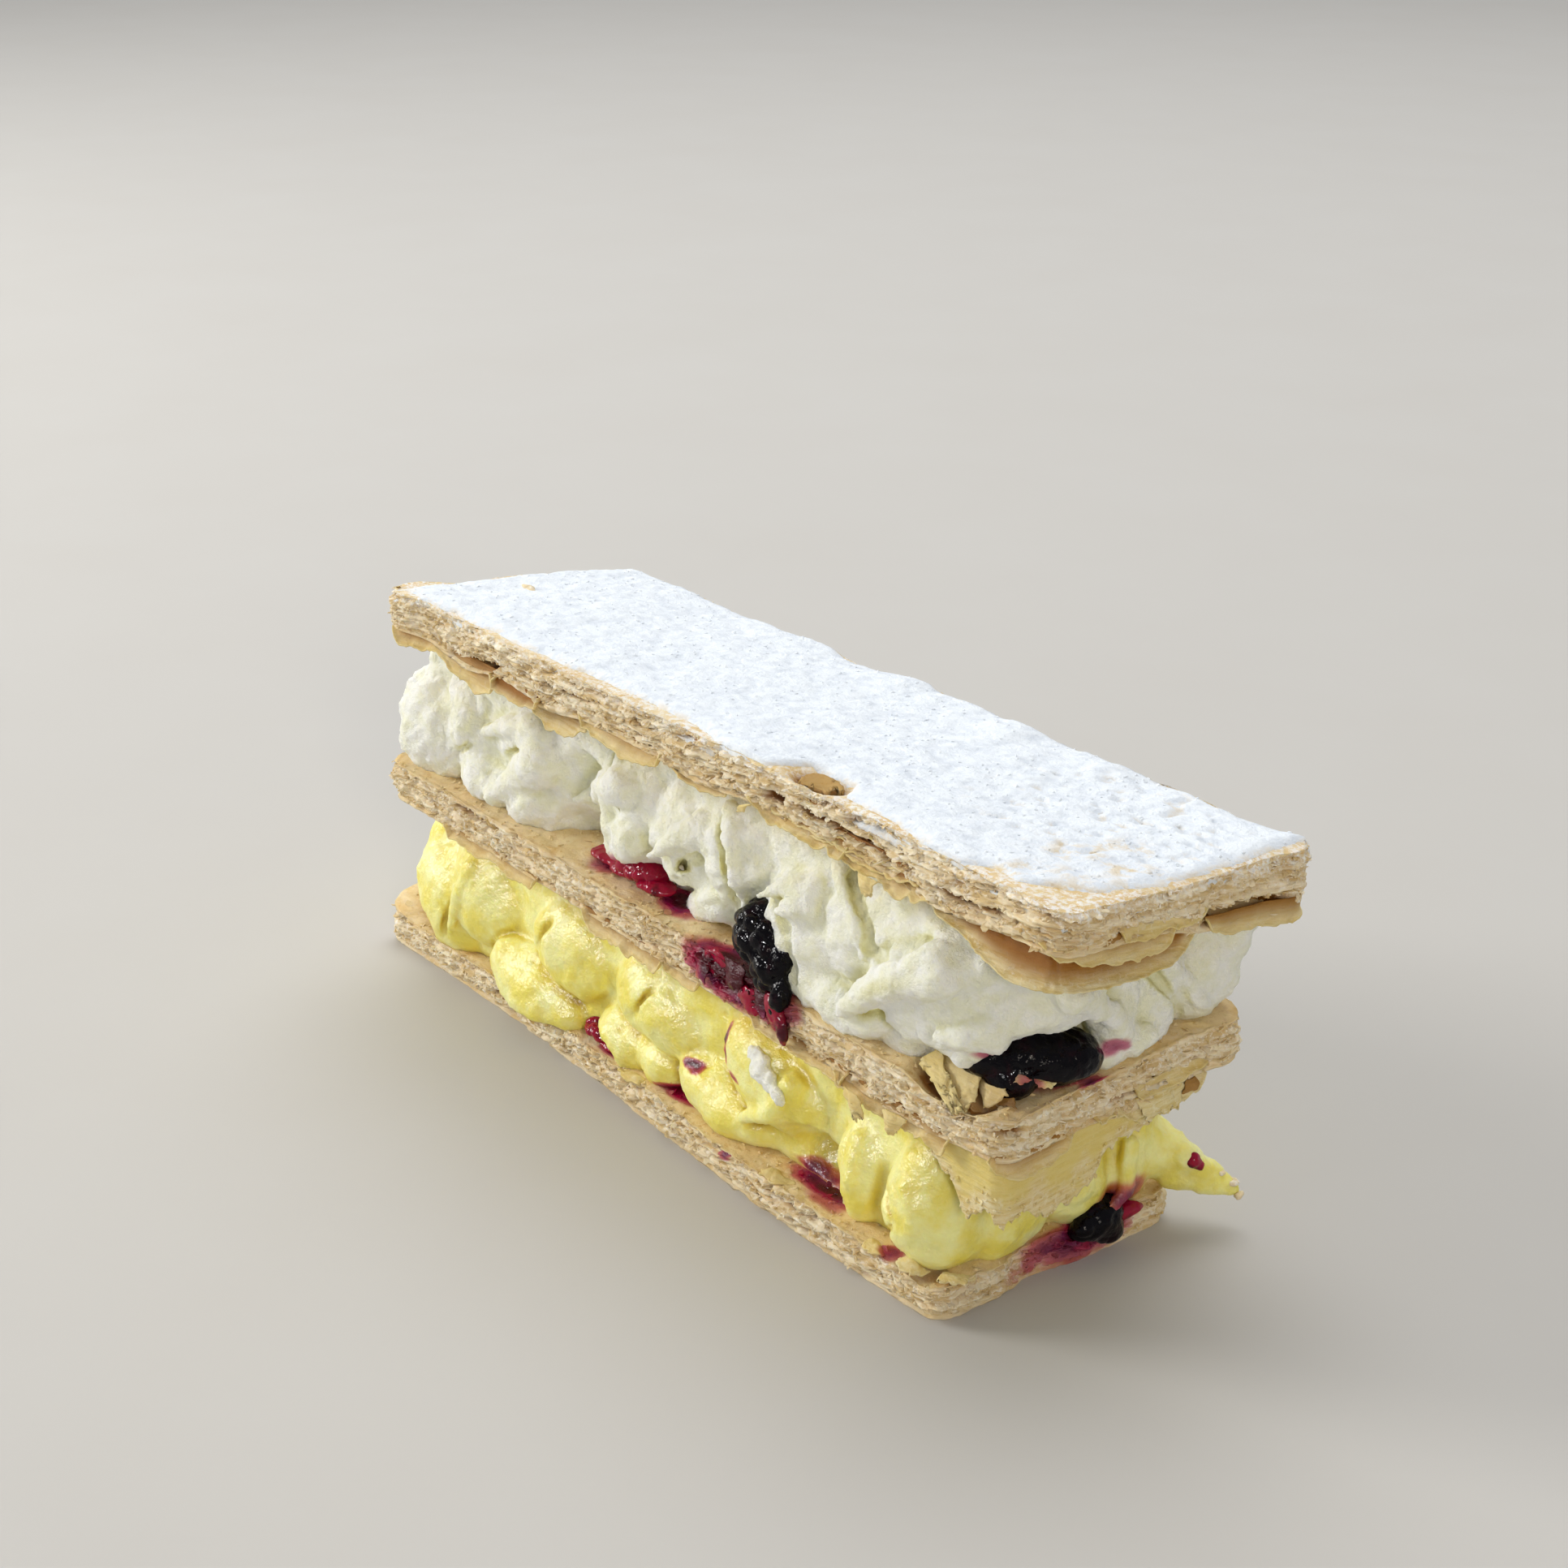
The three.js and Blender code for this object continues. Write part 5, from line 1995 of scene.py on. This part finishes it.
TOP = Sheet(
    node="pastry_top", middle=(14.9, -1, 49.1), width=37.5, thickness=4.8, salt=37,
    turn=0.0382, rise_along=-0.0164, rise_across=-0.1075, bow=-0.5, curl=1.1, blister=0.35,
    dents=(
        Spot(-10, 19, 9, 2), Spot(-34, 19, 22, 1.2), Spot(51, 19, 9, 1), Spot(62, 17, 6, -1),
        Spot(-60, -17, 8, -2),
    ),
    drops=(
        Spot(-45, -19, 9, 1.6), Spot(-26, -19, 8, 1.5), Spot(2, -19, 10, 1.2), Spot(40, -19, 16, 1.1),
        Spot(61, 8, 13, 2), Spot(60, 17, 9, 1.8),
    ),
    slots=(
        Slot(Spot(61, 9, 8, 4.2), 0.12, 0.38), Slot(Spot(61, -6, 6, 1.4), 0.14, 0.34),
        Slot(Spot(28, -19, 11, 4), 0.37, 0.51), Slot(Spot(31, -19, 6, 2), 0.68, 0.85),
        Slot(Spot(15.5, -19, 2.6, 2.6), 0.26, 0.5), Slot(Spot(37.2, -19, 1.8, 2.4), 0.04, 0.2),
        Slot(Spot(-42, -19, 7, 2.4), 0.08, 0.3), Slot(Spot(0.4, -19, 3, 1.6), 0.7, 0.82),
        Slot(Spot(-22, -19, 8, 1.4), 0.55, 0.64), Slot(Spot(47, -19, 8, 1.6), 0.3, 0.42),
    ),
    puffs=(
        Spot(-2, 15, 6, 0.5), Spot(18, 15, 6, 0.5), Spot(33, 15, 6, 0.4), Spot(18, -15.2, 3.4, -1.5),
        Spot(21.4, -15.4, 3.2, -1.4),
    ),
    scales=0,
    leafs=(
        Leaf((-59, -18.7), (-36.5, -18.7), (-1.4, -1.5, -1, -2.6, -3.6, -2.2), tuck=0.9),
        Leaf((-37.5, -18.7), (-27, -18.7), (-1.2, -2, -1.9, -1), tuck=0.6, amber=0.5),
        Leaf((-31, -18.7), (-19, -18.7), (-2.6, -3.6, -3.2, -1.6), tuck=2, flare=0.6),
        Leaf((-19, -18.7), (-3.6, -18.7), (-0.4, -1, -1.4, -0.8), root=0.9, tuck=0.7),
        Leaf((-4, -18.7), (7.5, -18.7), (-0.2, -1.2, -1.6, -0.6), root=1.2, tuck=1.7, flare=0.8, amber=0.35),
        Leaf((5.5, -18.7), (12.5, -18.7), (0.2, -0.4, 0.6), root=1.7, tuck=1.9, flare=0.5, amber=0.6),
        Leaf((12, -18.7), (28, -18.7), (0.3, -0.9, -1, -1, -1.3), root=0.9, tuck=0.5, ragged=0.6),
        Leaf((26, -18.7), (42, -18.7), (-1.1, -1.2, -2.2, -1.6, -0.6), root=0.8, tuck=0.9, ragged=0.8),
        Leaf((17, -18.7), (37, -18.7), (1.3, 1, 1.1, 0.9, 1.2), root=1.7, tuck=0.9, flare=0.5, rows=5,
             amber=0.3),
        Leaf((15, -18.7), (34, -18.7), (0.5, 0.3, 0.4, 0.2, 0.4), root=1.1, tuck=0.8, flare=0.7, rows=5,
             amber=0.3),
        Leaf((19, -18.7), (39, -18.7), (-0.2, -0.4, -0.5, -0.3), root=0.5, tuck=0.7, flare=0.8, rows=5,
             amber=0.2),
        Leaf((20, -18.7), (38, -18.7), (2.9, 2.5, 2.6, 2.4), root=3.3, tuck=0.8, flare=0.4, rows=5,
             amber=0.2),
        Leaf((39, -18.7), (60, 3), (-0.8, -2.4, -3.8, -4.4, -4.5, -4.4, -4.6, -4.6, -4, -2.6), root=0.9,
             tuck=2.2, flare=1.6, shade=1.5, toast=0.15, ragged=0.2, thick=0.14, rows=15, blunt=160),
        Leaf((57, -18.7), (60, -2), (0.4, -0.8, -1.4, -2.2, -1), root=1.2, tuck=0.6, ragged=0.5, blunt=20),
        Leaf((60, -10), (60, 2.5), (0.9, 0.4, 0.6, 1), root=1.9, tuck=0.5, flare=0.8, shade=0.3),
        Leaf((60, 3), (57.5, 18.7), (-0.8, -1.6, -2, -1.8, -1.2), root=0.5, tuck=0.3, flare=0.8),
    ),
    flakes=(
        Flake(((31.2, -14.2, 54.9), (35.4, -12.4, 54.7), (39.2, -14.6, 54.8), (34.2, -17.4, 54.9)),
              bulge=-0.3, crinkle=0.25, amber=0.68, toast=1, ragged=0.3, thick=0.6, oval=1),
        Flake(((25.8, -19.4, 49.4), (26.8, -19.4, 50.4), (29.6, -20.2, 52), (28.6, -20.4, 50.6)), ragged=0.2),
        Flake(((46, -18.4, 49.4), (49.2, -18.2, 49.2), (48.6, -18.6, 47), (47, -18.8, 47.2)), ragged=0.6),
    ),
    dust_reach=1.6,
)

CUSTARD = Filling(
    name="custard_layer", slot="custard", core=((-51, -14.5, 2), (57, 14.5, 27), 4), salt=5,
    crease=0.6, uneven=1.3, uneven_size=8, pull=60, fold=0.26, fold_size=(7, 6, 4), grain=0.22,
    grain_size=1.7,
    hollows=(
        Lobe((-7, -18, 5), (4.5, 6, 2.6)), Lobe((36, -18, 8), (6.6, 8, 4.2), -14),
        Lobe((-55, -14, 3), (8, 6, 5)),
    ),
    lobes=(
        Lobe((-46, -12, 10.5), (9, 6.5, 9), -12), Lobe((-37, -12.5, 14), (8.5, 5.5, 7.5), -10),
        Lobe((-23, -14, 6), (10.5, 5.6, 5.6), -8), Lobe((-15.5, -12.6, 14.2), (8.5, 5.6, 6.2), -10),
        Lobe((-3.5, -13.5, 6.2), (5.5, 4.8, 4.8)), Lobe((3.5, -13.2, 6.8), (5, 4.8, 3.6)),
        Lobe((3, -12.4, 14), (9.5, 5.8, 6.4), -5), Lobe((17.5, -12.9, 7.6), (10, 5.4, 4.8), -10),
        Lobe((26.5, -12.4, 14.4), (10.5, 5.8, 5.8), -16), Lobe((43, -12.5, 10.2), (4.3, 5.2, 7.5)),
        Lobe((53.2, -12, 10.2), (5.6, 6, 8.3)), Lobe((56, -6, 10.2), (4.5, 6, 8)),
        Lobe((57, 3, 11.5), (3.8, 5, 7.5)), Lobe((56.5, 11, 11), (4, 6, 8)),
        Lobe((-51.5, -8.5, 12), (5.5, 6.5, 9)), Lobe((-52, 2.5, 9), (5, 7.5, 6.5)),
        Lobe((-51, 3, 19), (4.5, 8.5, 5.5)), Lobe((-51.5, 12, 13), (5.5, 6, 9.5)),
    ) + BackRow(-44, 12.6, 8, 12.4, 8.5, 18).lobes((8, 5.4, 6.4), -18),
    strokes=BackRow(-42, 7.6, 13, 17.5, 4, 23).strokes(-5, 1.2, True) + (
        Stroke(((57, 14.5, 10), (60.4, 18.2, 7.8)), 4, 2.4),
        Stroke(((60, 17.4, 7.2), (64.8, 22, 4.8)), 2.6, 1),
        Stroke(((61.6, 17, 9.4), (62.8, 18.8, 7.6)), 1.7, 1.2),
        Stroke(((62.4, 20.4, 7), (64, 21.6, 5.6)), 1.4, 0.8),
    ),
    folds=(
        Fold(GROOVE, ((12.6, 11), (17, 13), (20, 16), (20.2, 21)), 0.6, 0.5),
        Fold(GROOVE, ((-40, 15), (-44, 10), (-46, 5)), 0.7, 0.4),
        Fold(RIDGE, ((-37, 19), (-41, 13), (-43, 8)), 0.9, 0.5, 0.3),
        Fold(GROOVE, ((5, 18), (1, 13), (-2, 9.6)), 0.6, 0.4),
        Fold(TONGUE, ((33, 17), (29, 12), (24, 9)), 1.6, 0.6, 0.8),
        Fold(GROOVE, ((-18, 18), (-21, 14), (-22, 11)), 0.7, 0.4),
        Fold(RIDGE, ((45, 16), (43.4, 10), (43, 5)), 0.9, 0.5, 0.3),
        Fold(GROOVE, ((-7.5, 19.8), (-10.1, 12.5), (-16.1, 11.5)), 0.8, 0.4, 0, True),
        Fold(GROOVE, ((0.2, 19), (-1, 14.2), (-6.5, 14.3)), 0.8, 0.5, 0, True),
        Fold(RIDGE, ((1.7, 19.7), (1.4, 14), (-2.3, 12.1)), 1, 0.5, 0.4, True),
        Fold(GROOVE, ((50, 12), (51, 8), (49.5, 5)), 0.5, 0.3),
        Fold(RIDGE, ((53, 14), (54.5, 9), (54, 5)), 0.7, 0.4, 0.2),
    ),
    stains=(
        Stain((12.8, -17.5, 11), (2.2, 3, 0.7), 0.9), Stain((16, -17.5, 12.6), (1.8, 3, 0.8), 0.9),
        Stain((20, -17.5, 17), (0.8, 3, 4), 0.9), Stain((22.4, -17.5, 14), (2, 3, 0.6), 0.7),
        Stain((-6, -15.5, 5), (4, 3, 1)), Stain((18, -18, 14.5), (3.4, 3, 3.2), 0.35),
        Stain((8.5, -16, 5), (4.5, 3, 0.9), 0.8), Stain((36, -14.4, 5.6), (6, 3, 1.4), 0.9),
        Stain((61, 9, 6), (4, 5, 3.6), 0.55), Stain((62, 13.5, 12.8), (2, 1, 1), 0.7),
        Stain((61, 10.4, 4), (3, 2.4, 1.6), 0.9),
    ),
)
CREAM = Filling(
    name="cream_layer", slot="cream", core=((-50, -15, 26), (62.5, 15.5, 55), 4), salt=7,
    crease=1.1, uneven=1.6, uneven_size=8, fold=0.55, grain=0.5, grain_size=1.4,
    hollows=(
        Lobe((-10.5, -18.5, 38), (5.5, 7, 8), 10), Lobe((-12, -19, 30), (9, 10, 5)),
        Lobe((5, -20, 29), (18, 9, 5)), Lobe((66, -10, 29), (9, 7, 5), turn=53), Lobe((57, -17.5, 28.6),
             (8, 6, 3.6)),
    ),
    lobes=(
        Lobe((-46, -13.2, 36), (9, 6.3, 8.2)), Lobe((-38, -12.2, 38.5), (6, 6, 7)),
        Lobe((-33, -14.6, 32.6), (5.5, 4.3, 3.8)), Lobe((-25.5, -14.3, 33), (5, 3.8, 3.6), 10),
        Lobe((-24, -12.5, 40.5), (9, 4.5, 3.4), 12), Lobe((-6.5, -13.4, 37.6), (5.5, 4.5, 5)),
        Lobe((1, -13, 40), (6, 5.2, 8)), Lobe((10, -13, 37.5), (7, 5, 7.5)),
        Lobe((20.5, -12.5, 40.5), (6.5, 5.2, 7)), Lobe((33, -12.5, 36), (8.5, 5.8, 8.5)),
        Lobe((42, -12.5, 40), (6, 5.2, 7)), Lobe((44.4, -15.2, 31.2), (3.8, 3, 2.2)),
        Lobe((52.5, -12, 38.2), (10, 6.6, 7.8)), Lobe((61.5, -8, 40), (7, 6.6, 6)),
        Lobe((64.5, 1.5, 35), (2.4, 3.2, 8)), Lobe((62.5, 8, 34.8), (4, 5, 8)),
        Lobe((61.5, 15.4, 34.5), (5, 5.2, 6)), Lobe((62, 17.8, 40), (5, 5, 6.5)),
        Lobe((34, -14.6, 31), (5, 3.4, 3.2)), Lobe((40.5, -14.8, 30.6), (6, 3.4, 3.2)),
        Lobe((57.4, -13.2, 33.6), (2.4, 1.8, 1.2)), Lobe((57, -12.6, 43.4), (8, 5, 4.2)),
        Lobe((65.5, -6, 43.6), (5.4, 7, 4)), Lobe((66.2, 4.4, 30.6), (1.4, 2, 1.2)),
        Lobe((-48.5, -5, 34.5), (5.5, 7, 6.5)), Lobe((-48, 3.5, 43.5), (5, 8.5, 5.5)),
        Lobe((-48.5, 6, 34), (5, 5.5, 5.5)), Lobe((-48.5, 13, 38), (5.5, 5, 9)),
    ) + BackRow(-42, 13, 8, 13.2, 35, 42).lobes((8, 5.4, 6.4), 20),
    strokes=BackRow(-45, 8, 14, 18.2, 32, 48).strokes(5, 1.6, True)
    + BackRow(-41, 9.5, 11, 17.2, 33, 46).strokes(4, 1.7, False),
    folds=(
        Fold(GROOVE, ((-36, 37), (-40, 34), (-44, 31)), 0.6, 0.3),
        Fold(RIDGE, ((-38, 45), (-36, 41), (-38, 37)), 0.9, 0.5),
        Fold(GROOVE, ((-20, 41.5), (-26, 38.6), (-31, 34.5)), 0.9, 0.5),
        Fold(TONGUE, ((-18, 40), (-23, 36.5), (-30, 32)), 3, 1, 0.8),
        Fold(TONGUE, ((-18, 44.5), (-24, 43), (-30.5, 40.8)), 2.2, 0.6, 1),
        Fold(RIDGE, ((-31, 47), (-31.5, 43)), 0.8, 0.5),
        Fold(TONGUE, ((0, 43), (-4, 41.4), (-9.8, 38.2)), 2.6, 0.4, 1.4),
        Fold(TONGUE, ((2, 37), (-1.5, 34.5), (-4.2, 32)), 2.4, 0.6, 0.6),
        Fold(RIDGE, ((0.5, 47), (0.2, 42), (1.2, 36)), 1, 0.6, 0.3),
        Fold(GROOVE, ((-1.2, 46), (-1.4, 42), (-0.8, 40)), 0.8, 0.5),
        Fold(TONGUE, ((17, 43), (12.5, 41), (7.6, 37.4)), 2.4, 0.5, 1.4),
        Fold(GROOVE, ((16, 40), (12.5, 37.6), (10.5, 34.5)), 1, 0.6),
        Fold(TONGUE, ((20, 36), (16.5, 33.5), (12.4, 32)), 2.6, 0.6, 0.6),
        Fold(RIDGE, ((21.8, 47), (21.6, 43.5), (22.4, 40), (24.5, 37)), 1.1, 0.6, 0.4),
        Fold(GROOVE, ((20.2, 46), (20, 42), (21.4, 38), (23, 36)), 0.9, 0.5),
        Fold(TONGUE, ((37.5, 43.8), (33.5, 42.2), (29.4, 39.6)), 1.7, 0.4, 1.6),
        Fold(GROOVE, ((38, 42.6), (34.5, 41.2), (31.6, 40)), 0.7, 0.5),
        Fold(TONGUE, ((36, 41), (34, 40), (31.6, 38.6)), 1.8, 0.5, 1),
        Fold(GROOVE, ((30.4, 38), (32, 35), (33.2, 31)), 1.1, 0.8),
        Fold(RIDGE, ((41.6, 48), (42.8, 44), (44.4, 42), (46, 39)), 1, 0.6, 0.4),
        Fold(GROOVE, ((43.6, 47.5), (45, 44), (46.6, 42)), 0.8, 0.5),
        Fold(GROOVE, ((46.6, 40.6), (49.5, 39.4)), 1.1, 0.8),
        Fold(TONGUE, ((58, 42), (50, 37.6), (43, 31)), 3, 0.9, 1),
        Fold(GROOVE, ((56, 44.5), (49.5, 42), (47.6, 39)), 0.8, 0.6),
        Fold(TONGUE, ((66, 38.4), (62.5, 36.6), (58.5, 35.2)), 1.8, 0.7, 0.8),
        Fold(TONGUE, ((-8, 41), (-2.5, 37), (2.4, 30.6)), 2, 0.5, 1.2, True),
        Fold(RIDGE, ((0, 45), (8, 38), (11, 34), (12, 30)), 1, 0.6, 0.4, True),
        Fold(GROOVE, ((3, 40), (7, 35.5), (8, 33)), 0.8, 0.5, 0, True),
    ),
    stains=(
        Stain((54, -8, 31.5), (3, 5, 1.6), 0.5), Stain((-3, -17, 31), (4, 4, 2), 0.4),
        Stain((61, -12, 33.6), (2.6, 3.4, 1.8), 0.6), Stain((67, 0, 31), (2.4, 3, 1.8), 0.4),
    ),
)
BERRIES = (
    Berry("berry_edge", (
        Lobe((27.2, -16, 34), (4.5, 3.8, 4.2), 20), Lobe((30.2, -17.4, 31.6), (2.6, 2.4, 4), -30),
        Lobe((32.6, -18.4, 28.6), (1.2, 1.3, 2.6), -16),
    ), 3),
    Berry("berry_corner", (
        Lobe((61.6, -7.9, 31.3), (8.2, 4.6, 3.5), -5, 53), Lobe((62.4, -11, 29.8), (3.2, 2.4, 2.6)),
    ), 7, knob=0.22),
    Berry("berry_crushed", (Lobe((-1, -13.6, 31.4), (4.6, 2.9, 2)),), 9, jam=True),
    Berry("berry_end", (
        Lobe((59.4, 5.8, 4.8), (2.8, 3.4, 2.6)), Lobe((60.2, 3.4, 4.6), (1.6, 2.2, 1.6)),
        Lobe((60.4, 7, 2.9), (1.5, 2, 1.6)),
    ), 13, knob=0.25),
    Berry("berry_pressed", (Lobe((-9.3, -14.6, 5.7), (3.2, 2.4, 1.3)),), 17, jam=True),
)
DABS = (
    Dab("cream_dab", Stuff.CREAM, (
        Lobe((26.2, -17, 18.2), (1.5, 0.8, 1.3)), Lobe((27.9, -17, 18), (1, 0.8, 1.2)),
        Lobe((27.2, -17, 16.4), (1.7, 0.9, 1.2)), Lobe((29.2, -17, 15.6), (1.3, 0.8, 1.5)),
        Lobe((30, -17, 14.7), (1.1, 0.7, 1.1)),
    ), 21, True, 0.5),
    Dab("jam_drip", Stuff.JAM, (
        Lobe((19.5, -17.7, 27.6), (2.6, 0.4, 1.6), 10), Lobe((26.4, -17.9, 25.9), (2.4, 0.4, 1.5), -10),
        Lobe((31.8, -18.4, 26.6), (1.6, 0.8, 2.4), 20), Lobe((33.4, -18.6, 24.9), (0.8, 0.6, 1.8)),
    ), 23, uneven=0.4),
    Dab("jam_left", Stuff.JAM, (
        Lobe((-8, -13.4, 30.4), (3.2, 2.6, 0.7), 2), Lobe((-3.6, -14, 30.4), (3, 2.4, 1), 2),
        Lobe((3, -14.6, 30.4), (3.2, 2, 0.8), 2),
    ), 25),
    Dab("jam_bottom", Stuff.JAM, (
        Lobe((-6.4, -15, 4.9), (3, 1.6, 0.6)), Lobe((60.2, 9.8, 4.2), (1, 2.4, 0.9)),
    ), 27),
    Dab("jam_spots", Stuff.JAM, (
        Lobe((61.5, 19.2, 8.1), (0.8, 1, 0.9)), Lobe((61.9, 20, 7.2), (0.6, 0.7, 0.6)),
    ), 29, True),
    Dab("tail_crumbs", Stuff.CRUST, (
        Lobe((65, 22, 5.6), (0.9, 1, 0.4)), Lobe((63.9, 20.9, 6.9), (0.8, 0.9, 0.4)),
        Lobe((65.9, 22.3, 4.2), (0.6, 0.7, 0.5)),
    ), 31, uneven=0.4),
    Dab("sugar_crumb", Stuff.CRUST, (Lobe((-37.8, -6, 55.4), (1.9, 0.6, 0.5)),), 33, uneven=0.3),
)
FLAP = Drape("pastry_flap", (44.5, -18), (60, 12.5),
             (22.4, 21, 17.6, 13.4, 15.4, 14, 15.8, 12.8, 14.2, 15.6, 17.6, 18, 18.8, 19.6, 21))
FLAKES = tuple(
    Strewn(f"{place}_flakes", Shape.FLAKE, "cut_side", 50, 0.62, 0.14, seed, 0.4)
    for place, seed in (("bottom", 3), ("middle", 5), ("top", 7))
)
CRUMBS = tuple(
    Strewn(f"{place}_crumbs", Shape.CRUMB, "cut_side", density, 0.3, 0.8, seed)
    for place, density, seed in (
        ("bottom", 110, 13), ("middle", 110, 15), ("top", 110, 17), ("flap", 160, 19),
    )
)
CLUMPS = Strewn("sugar_clumps", Shape.CRUMB, "powdered", 14, 0.3, 0.5, 9, uneven=0.05)
# How far a filling reaches into the sheets it lies between, so that no gap shows.
PRESS = 0.5


def main() -> None:
    """Builds the slice and its studio."""
    logging.basicConfig(level=logging.INFO, format="%(message)s")
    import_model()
    Studio().build()
    pastry, cream, jam = PUFF_PASTRY.make(), WHIPPED_CREAM.make(), BERRY_JAM.make()
    skin, sugar = BERRY_SKIN.make(), ICING_SUGAR.make()
    CUSTARD.shape(BOTTOM.face(BOTTOM.thickness - PRESS), MIDDLE.face(PRESS))
    CREAM.shape(MIDDLE.face(MIDDLE.thickness - PRESS), TOP.face(PRESS))
    pieces = [sheet.build(pastry) for sheet in (BOTTOM, MIDDLE, TOP)]
    pieces.append(CUSTARD.build(PASTRY_CUSTARD.make()))
    pieces.append(CREAM.build(cream))
    pieces.extend(berry.build(jam if berry.jam else skin) for berry in BERRIES)
    pieces.append(SugarCoat(TOP).build(sugar))
    pieces.append(CLUMPS.build(pieces[-1], sugar))
    flap = FLAP.build(MIDDLE, CUSTARD, pastry)
    pieces.append(flap)
    for sheet in (BOTTOM, MIDDLE, TOP):
        pieces.extend(sheet.build_leafs(pastry))
    for strewn, base in zip((*FLAKES, *CRUMBS), (*pieces[:3], *pieces[:3], flap)):
        pieces.append(strewn.build(base, pastry))
    stuffs = {Stuff.CREAM: cream, Stuff.JAM: jam, Stuff.CRUST: pastry}
    pieces.extend(dab.build(CUSTARD, stuffs[dab.of]) for dab in DABS)
    for piece in pieces:
        LOG.info("%s: %d faces", piece.name, len(piece.data.polygons))


if __name__ == "__main__":
    main()
